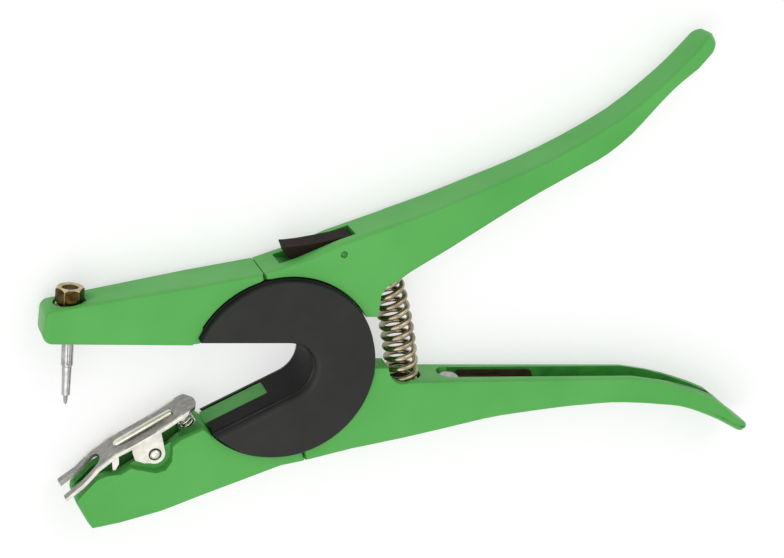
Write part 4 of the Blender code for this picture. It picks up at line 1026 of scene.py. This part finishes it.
under = [(x + DROP_X * EDGE_DROP, y + DROP_Y * EDGE_DROP) for x, y in reversed(CLIP_LINE)]
for name, (low, high) in CLIP_EDGES.items():
    edge = slab(name, list(CLIP_LINE) + under, low, high, highlit_steel)
    soften(edge, 0.3)
    for vertex in edge.data.vertices:
        x, y, z = from_hub(vertex.co)
        if x < FORK_END_X:
            vertex.co = at(x, y, spread_prong(x, z))
    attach(edge, "clip")
    print(name, "of", len(edge.data.polygons), "faces")

# %% [markdown]
# ## Cover
#
# The cover is one C-shaped moulding. Its outer rim has a small round edge, but round the throat
# the edge is a wide, soft blend, so that the ear of an animal isn't pinched. The outline is a
# formula, so it is drawn again at each level of the edge, a bit further in each time, and the
# levels are joined by faces: two different roundings then meet cleanly at the corners.

# %% The cover's outline
COVER_R, THROAT_R = 31.0, 10.0
COVER_BACK, COVER_FACE = 8.9, 11.8
LOW_WALL = radians(208.5)
RIM_ROUND, UPPER_ROUND, THROAT_ROUND = 0.9, 0.6, 2.4
RIM_STEPS, THROAT_STEPS = 96, 28
BLEND_SHARE = 0.45


def arc_points(radius, start, end, steps):
    """Points on an arc round the hub's middle."""
    turns = [start + (end - start) * i / steps for i in range(steps + 1)]
    return [(radius * cos(a), radius * sin(a)) for a in turns]


def drawn_in(radius, z):
    """How far an edge of this rounding has drawn in at this height."""
    height = min(max(z - (COVER_FACE - radius), 0.0), radius)
    return radius - (radius ** 2 - height ** 2) ** 0.5


def c_ring(z):
    """The cover's outline at this height. Its throat is rounded little above and widely below."""
    outer_r = COVER_R - drawn_in(RIM_ROUND, z)
    low_mouth = asin((THROAT_R + drawn_in(THROAT_ROUND, z)) / outer_r)
    top_mouth = asin((THROAT_R + drawn_in(UPPER_ROUND, z)) / outer_r)
    ring = arc_points(outer_r, LOW_WALL + low_mouth - 2 * pi, pi - top_mouth, RIM_STEPS)
    for i in range(THROAT_STEPS + 1):
        share = i / THROAT_STEPS
        angle = pi / 2 + (LOW_WALL - 2 * pi) * share
        soft = min(share / BLEND_SHARE, 1.0)
        rounding = UPPER_ROUND + (THROAT_ROUND - UPPER_ROUND) * soft * soft * (3 - 2 * soft)
        inner_r = THROAT_R + drawn_in(rounding, z)
        ring.append((inner_r * cos(angle), inner_r * sin(angle)))
    return [at(x, y, z) for x, y in ring]


print("outline of", len(c_ring(COVER_BACK)), "points")

# %% [markdown]
# The levels stand close together near the top, where the edge turns fastest.

# %% The cover
EDGE_ANGLES = (0, 15, 30, 42, 54, 66, 76, 84, 90)
levels = [COVER_BACK]
levels += [COVER_FACE - THROAT_ROUND * (1 - sin(radians(angle))) for angle in EDGE_ANGLES]
points = [point for z in levels for point in c_ring(z)]
count = len(points) // len(levels)
faces = []
for low in range(0, len(points) - count, count):
    high = low + count
    for i in range(count):
        j = (i + 1) % count
        faces.append((low + i, low + j, high + j, high + i))
faces += [tuple(reversed(range(count))), tuple(range(len(points) - count, len(points)))]
mesh = bpy.data.meshes.new("cover_moulding")
mesh.from_pydata(points, [], faces)
cover = new_piece("cover_moulding", mesh)
open_all(cover)
bpy.ops.mesh.normals_make_consistent(inside=False)
close()
bpy.ops.object.shade_smooth_by_angle(angle=radians(35))
cover.data.materials.append(nylon)
print("cover of", len(faces), "faces")
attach(cover, "frame_arm")
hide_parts("hub_cover")

# %% [markdown]
# Below its rim the cover has a thin foot that lies in the groove of the castings. It is a painted shadow:
# a dark piece where the groove is in shade, which draws the dark line that runs all round the cover.

# %% The cover's foot
FOOT_R, FOOT_LOW, FOOT_HIGH = 31.5, 6.5, 8.9
UNDER_RIM = 0.12
PAST_ENDS = 0.01

half_mouth = asin(THROAT_R / COVER_R)
foot_start = LOW_WALL + half_mouth - 2 * pi + PAST_ENDS
foot_end = pi - half_mouth - PAST_ENDS
outer = arc_points(FOOT_R, foot_start, foot_end, RIM_STEPS)
inner = arc_points(COVER_R - UNDER_RIM, foot_end, foot_start, RIM_STEPS)
foot = slab("cover_shadow_foot", outer + inner, FOOT_LOW, FOOT_HIGH, nylon)
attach(foot, "frame_arm")
print("foot of", len(foot.data.polygons), "faces")

# %% [markdown]
# ## Springs
#
# A compression spring is round wire on a helix, with its first and last turns closed up so that
# it stands square. The return spring is bowed, because its two seats turn towards each other. A
# curve with a round bevel is the natural way to make wire: its points come from one formula, and
# it is made a mesh at the end, so that its place is in its vertices.

# %% Wire on a helix
POINTS_PER_TURN = 24
SEAT_GAP = 0.3 * MM


def helix(length, coil_r, wire, turns, end_gap=0.0, bend=0.0):
    """The wire's path up +Z. An end gap closes its end turns, and a bend bows it towards +X."""
    low = SEAT_GAP + wire / 2
    free = length - 2 * low
    end_pitch = wire + end_gap if end_gap else free / turns
    pitch = (free - 2 * end_pitch) / (turns - 2)
    height, path = low, []
    for i in range(round(turns * POINTS_PER_TURN) + 1):
        angle = 2 * pi * i / POINTS_PER_TURN
        point = Vector((coil_r * cos(angle), coil_r * sin(angle), height))
        if bend:
            radius, turn = length / bend, bend * height / length
            out = radius + point.x
            point = Vector((out * cos(turn) - radius, point.y, out * sin(turn)))
        path.append(point)
        at_end = i < POINTS_PER_TURN or i >= (turns - 1) * POINTS_PER_TURN
        height += (end_pitch if at_end else pitch) / POINTS_PER_TURN
    return path


def wire_mesh(name, path, wire, place, finish):
    """A round wire through the points, as a mesh whose object sits at the origin."""
    data = bpy.data.curves.new(name, "CURVE")
    data.dimensions = "3D"
    data.bevel_depth = wire / 2
    data.bevel_resolution = 3
    data.use_fill_caps = True
    spline = data.splines.new("POLY")
    spline.points.add(len(path) - 1)
    for point, spot in zip(spline.points, path):
        point.co = (*spot, 1.0)
    piece = new_piece(name, data)
    piece.matrix_world = place
    bpy.ops.object.convert(target="MESH")
    bpy.ops.object.transform_apply(location=True, rotation=True, scale=True)
    bpy.ops.object.shade_smooth_by_angle(angle=radians(60))
    piece.data.materials.append(finish)
    return piece


# %% [markdown]
# The return spring stands between the two handles, on a seat in each. Its wire is heavy, with
# nine and a half open turns and a closed one at each end.

# %% The return spring
SPRING_FOOT = at(46.5, -12.3)
SPRING_HEAD = at(33.33, 30.78)
SPRING_BEND = radians(16)
SPRING_COIL_R, SPRING_WIRE = 4.925 * MM, 1.95 * MM
SPRING_TURNS = 11.5
SPRING_END_GAP = 0.6 * MM

chord = SPRING_HEAD - SPRING_FOOT
up = Matrix.Rotation(-SPRING_BEND / 2, 3, "Z") @ chord.normalized()
side = Vector((up.y, -up.x, 0.0))
turn = Matrix((side, up.cross(side), up)).transposed().to_4x4()
length = chord.length * (SPRING_BEND / 2) / sin(SPRING_BEND / 2)
path = helix(length, SPRING_COIL_R, SPRING_WIRE, SPRING_TURNS, SPRING_END_GAP, SPRING_BEND)
spring = wire_mesh("return_spring", path, SPRING_WIRE, Matrix.Translation(SPRING_FOOT) @ turn, nickel)
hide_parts("main_spring")
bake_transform(spring)
print("return spring", round(length / MM, 1), "mm along its bow")

# %% [markdown]
# The clip's spring and the lever's are small and straight. Each lies between two moving pieces. The clip's
# is painted pale, a painted highlight, as the clip's edges are.

# %% The small springs
CLIP_FOOT = at(-25.89, -25.082)
CLIP_HEAD = CLIP_FOOT + Vector((-0.61858, 0.78572, 0.0)) * 8.32 * MM
CLIP_COIL = {"outer_r": 2.75 * MM, "wire": 0.65 * MM, "turns": 5.2}
LEVER_FOOT = at(6.996, 34.0)
LEVER_HEAD = LEVER_FOOT + Vector((0.0, 3.778, 0.0)) * MM
LEVER_COIL = {"outer_r": 2.0 * MM, "wire": 0.5 * MM, "turns": 2.5}


def small_spring(name, node, foot, head, bodies, finish, outer_r, wire, turns):
    """A straight spring from its foot to its head. Its bodies are not used."""
    up = (head - foot).normalized()
    turn = Vector((0, 0, 1)).rotation_difference(up).to_matrix().to_4x4()
    path = helix((head - foot).length, outer_r - wire / 2, wire, turns)
    piece = wire_mesh(name, path, wire, Matrix.Translation(foot) @ turn, finish)
    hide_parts(node)
    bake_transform(piece)
    print(name, "of", turns, "turns")


# The clip's coil gets the paler steel too: a painted highlight.
small_spring("clip_coil", "clip_spring", CLIP_FOOT, CLIP_HEAD, ("moving_arm", "clip"), highlit_steel, **CLIP_COIL)
small_spring(
    "lever_coil", "lever_spring", LEVER_FOOT, LEVER_HEAD, ("moving_arm", "lever"), nickel, **LEVER_COIL
)

# %% [markdown]
# ## The end
#
# The last line sets the view transform to Standard.

# %% The scene ends
bpy.context.scene.view_settings.view_transform = "Standard"
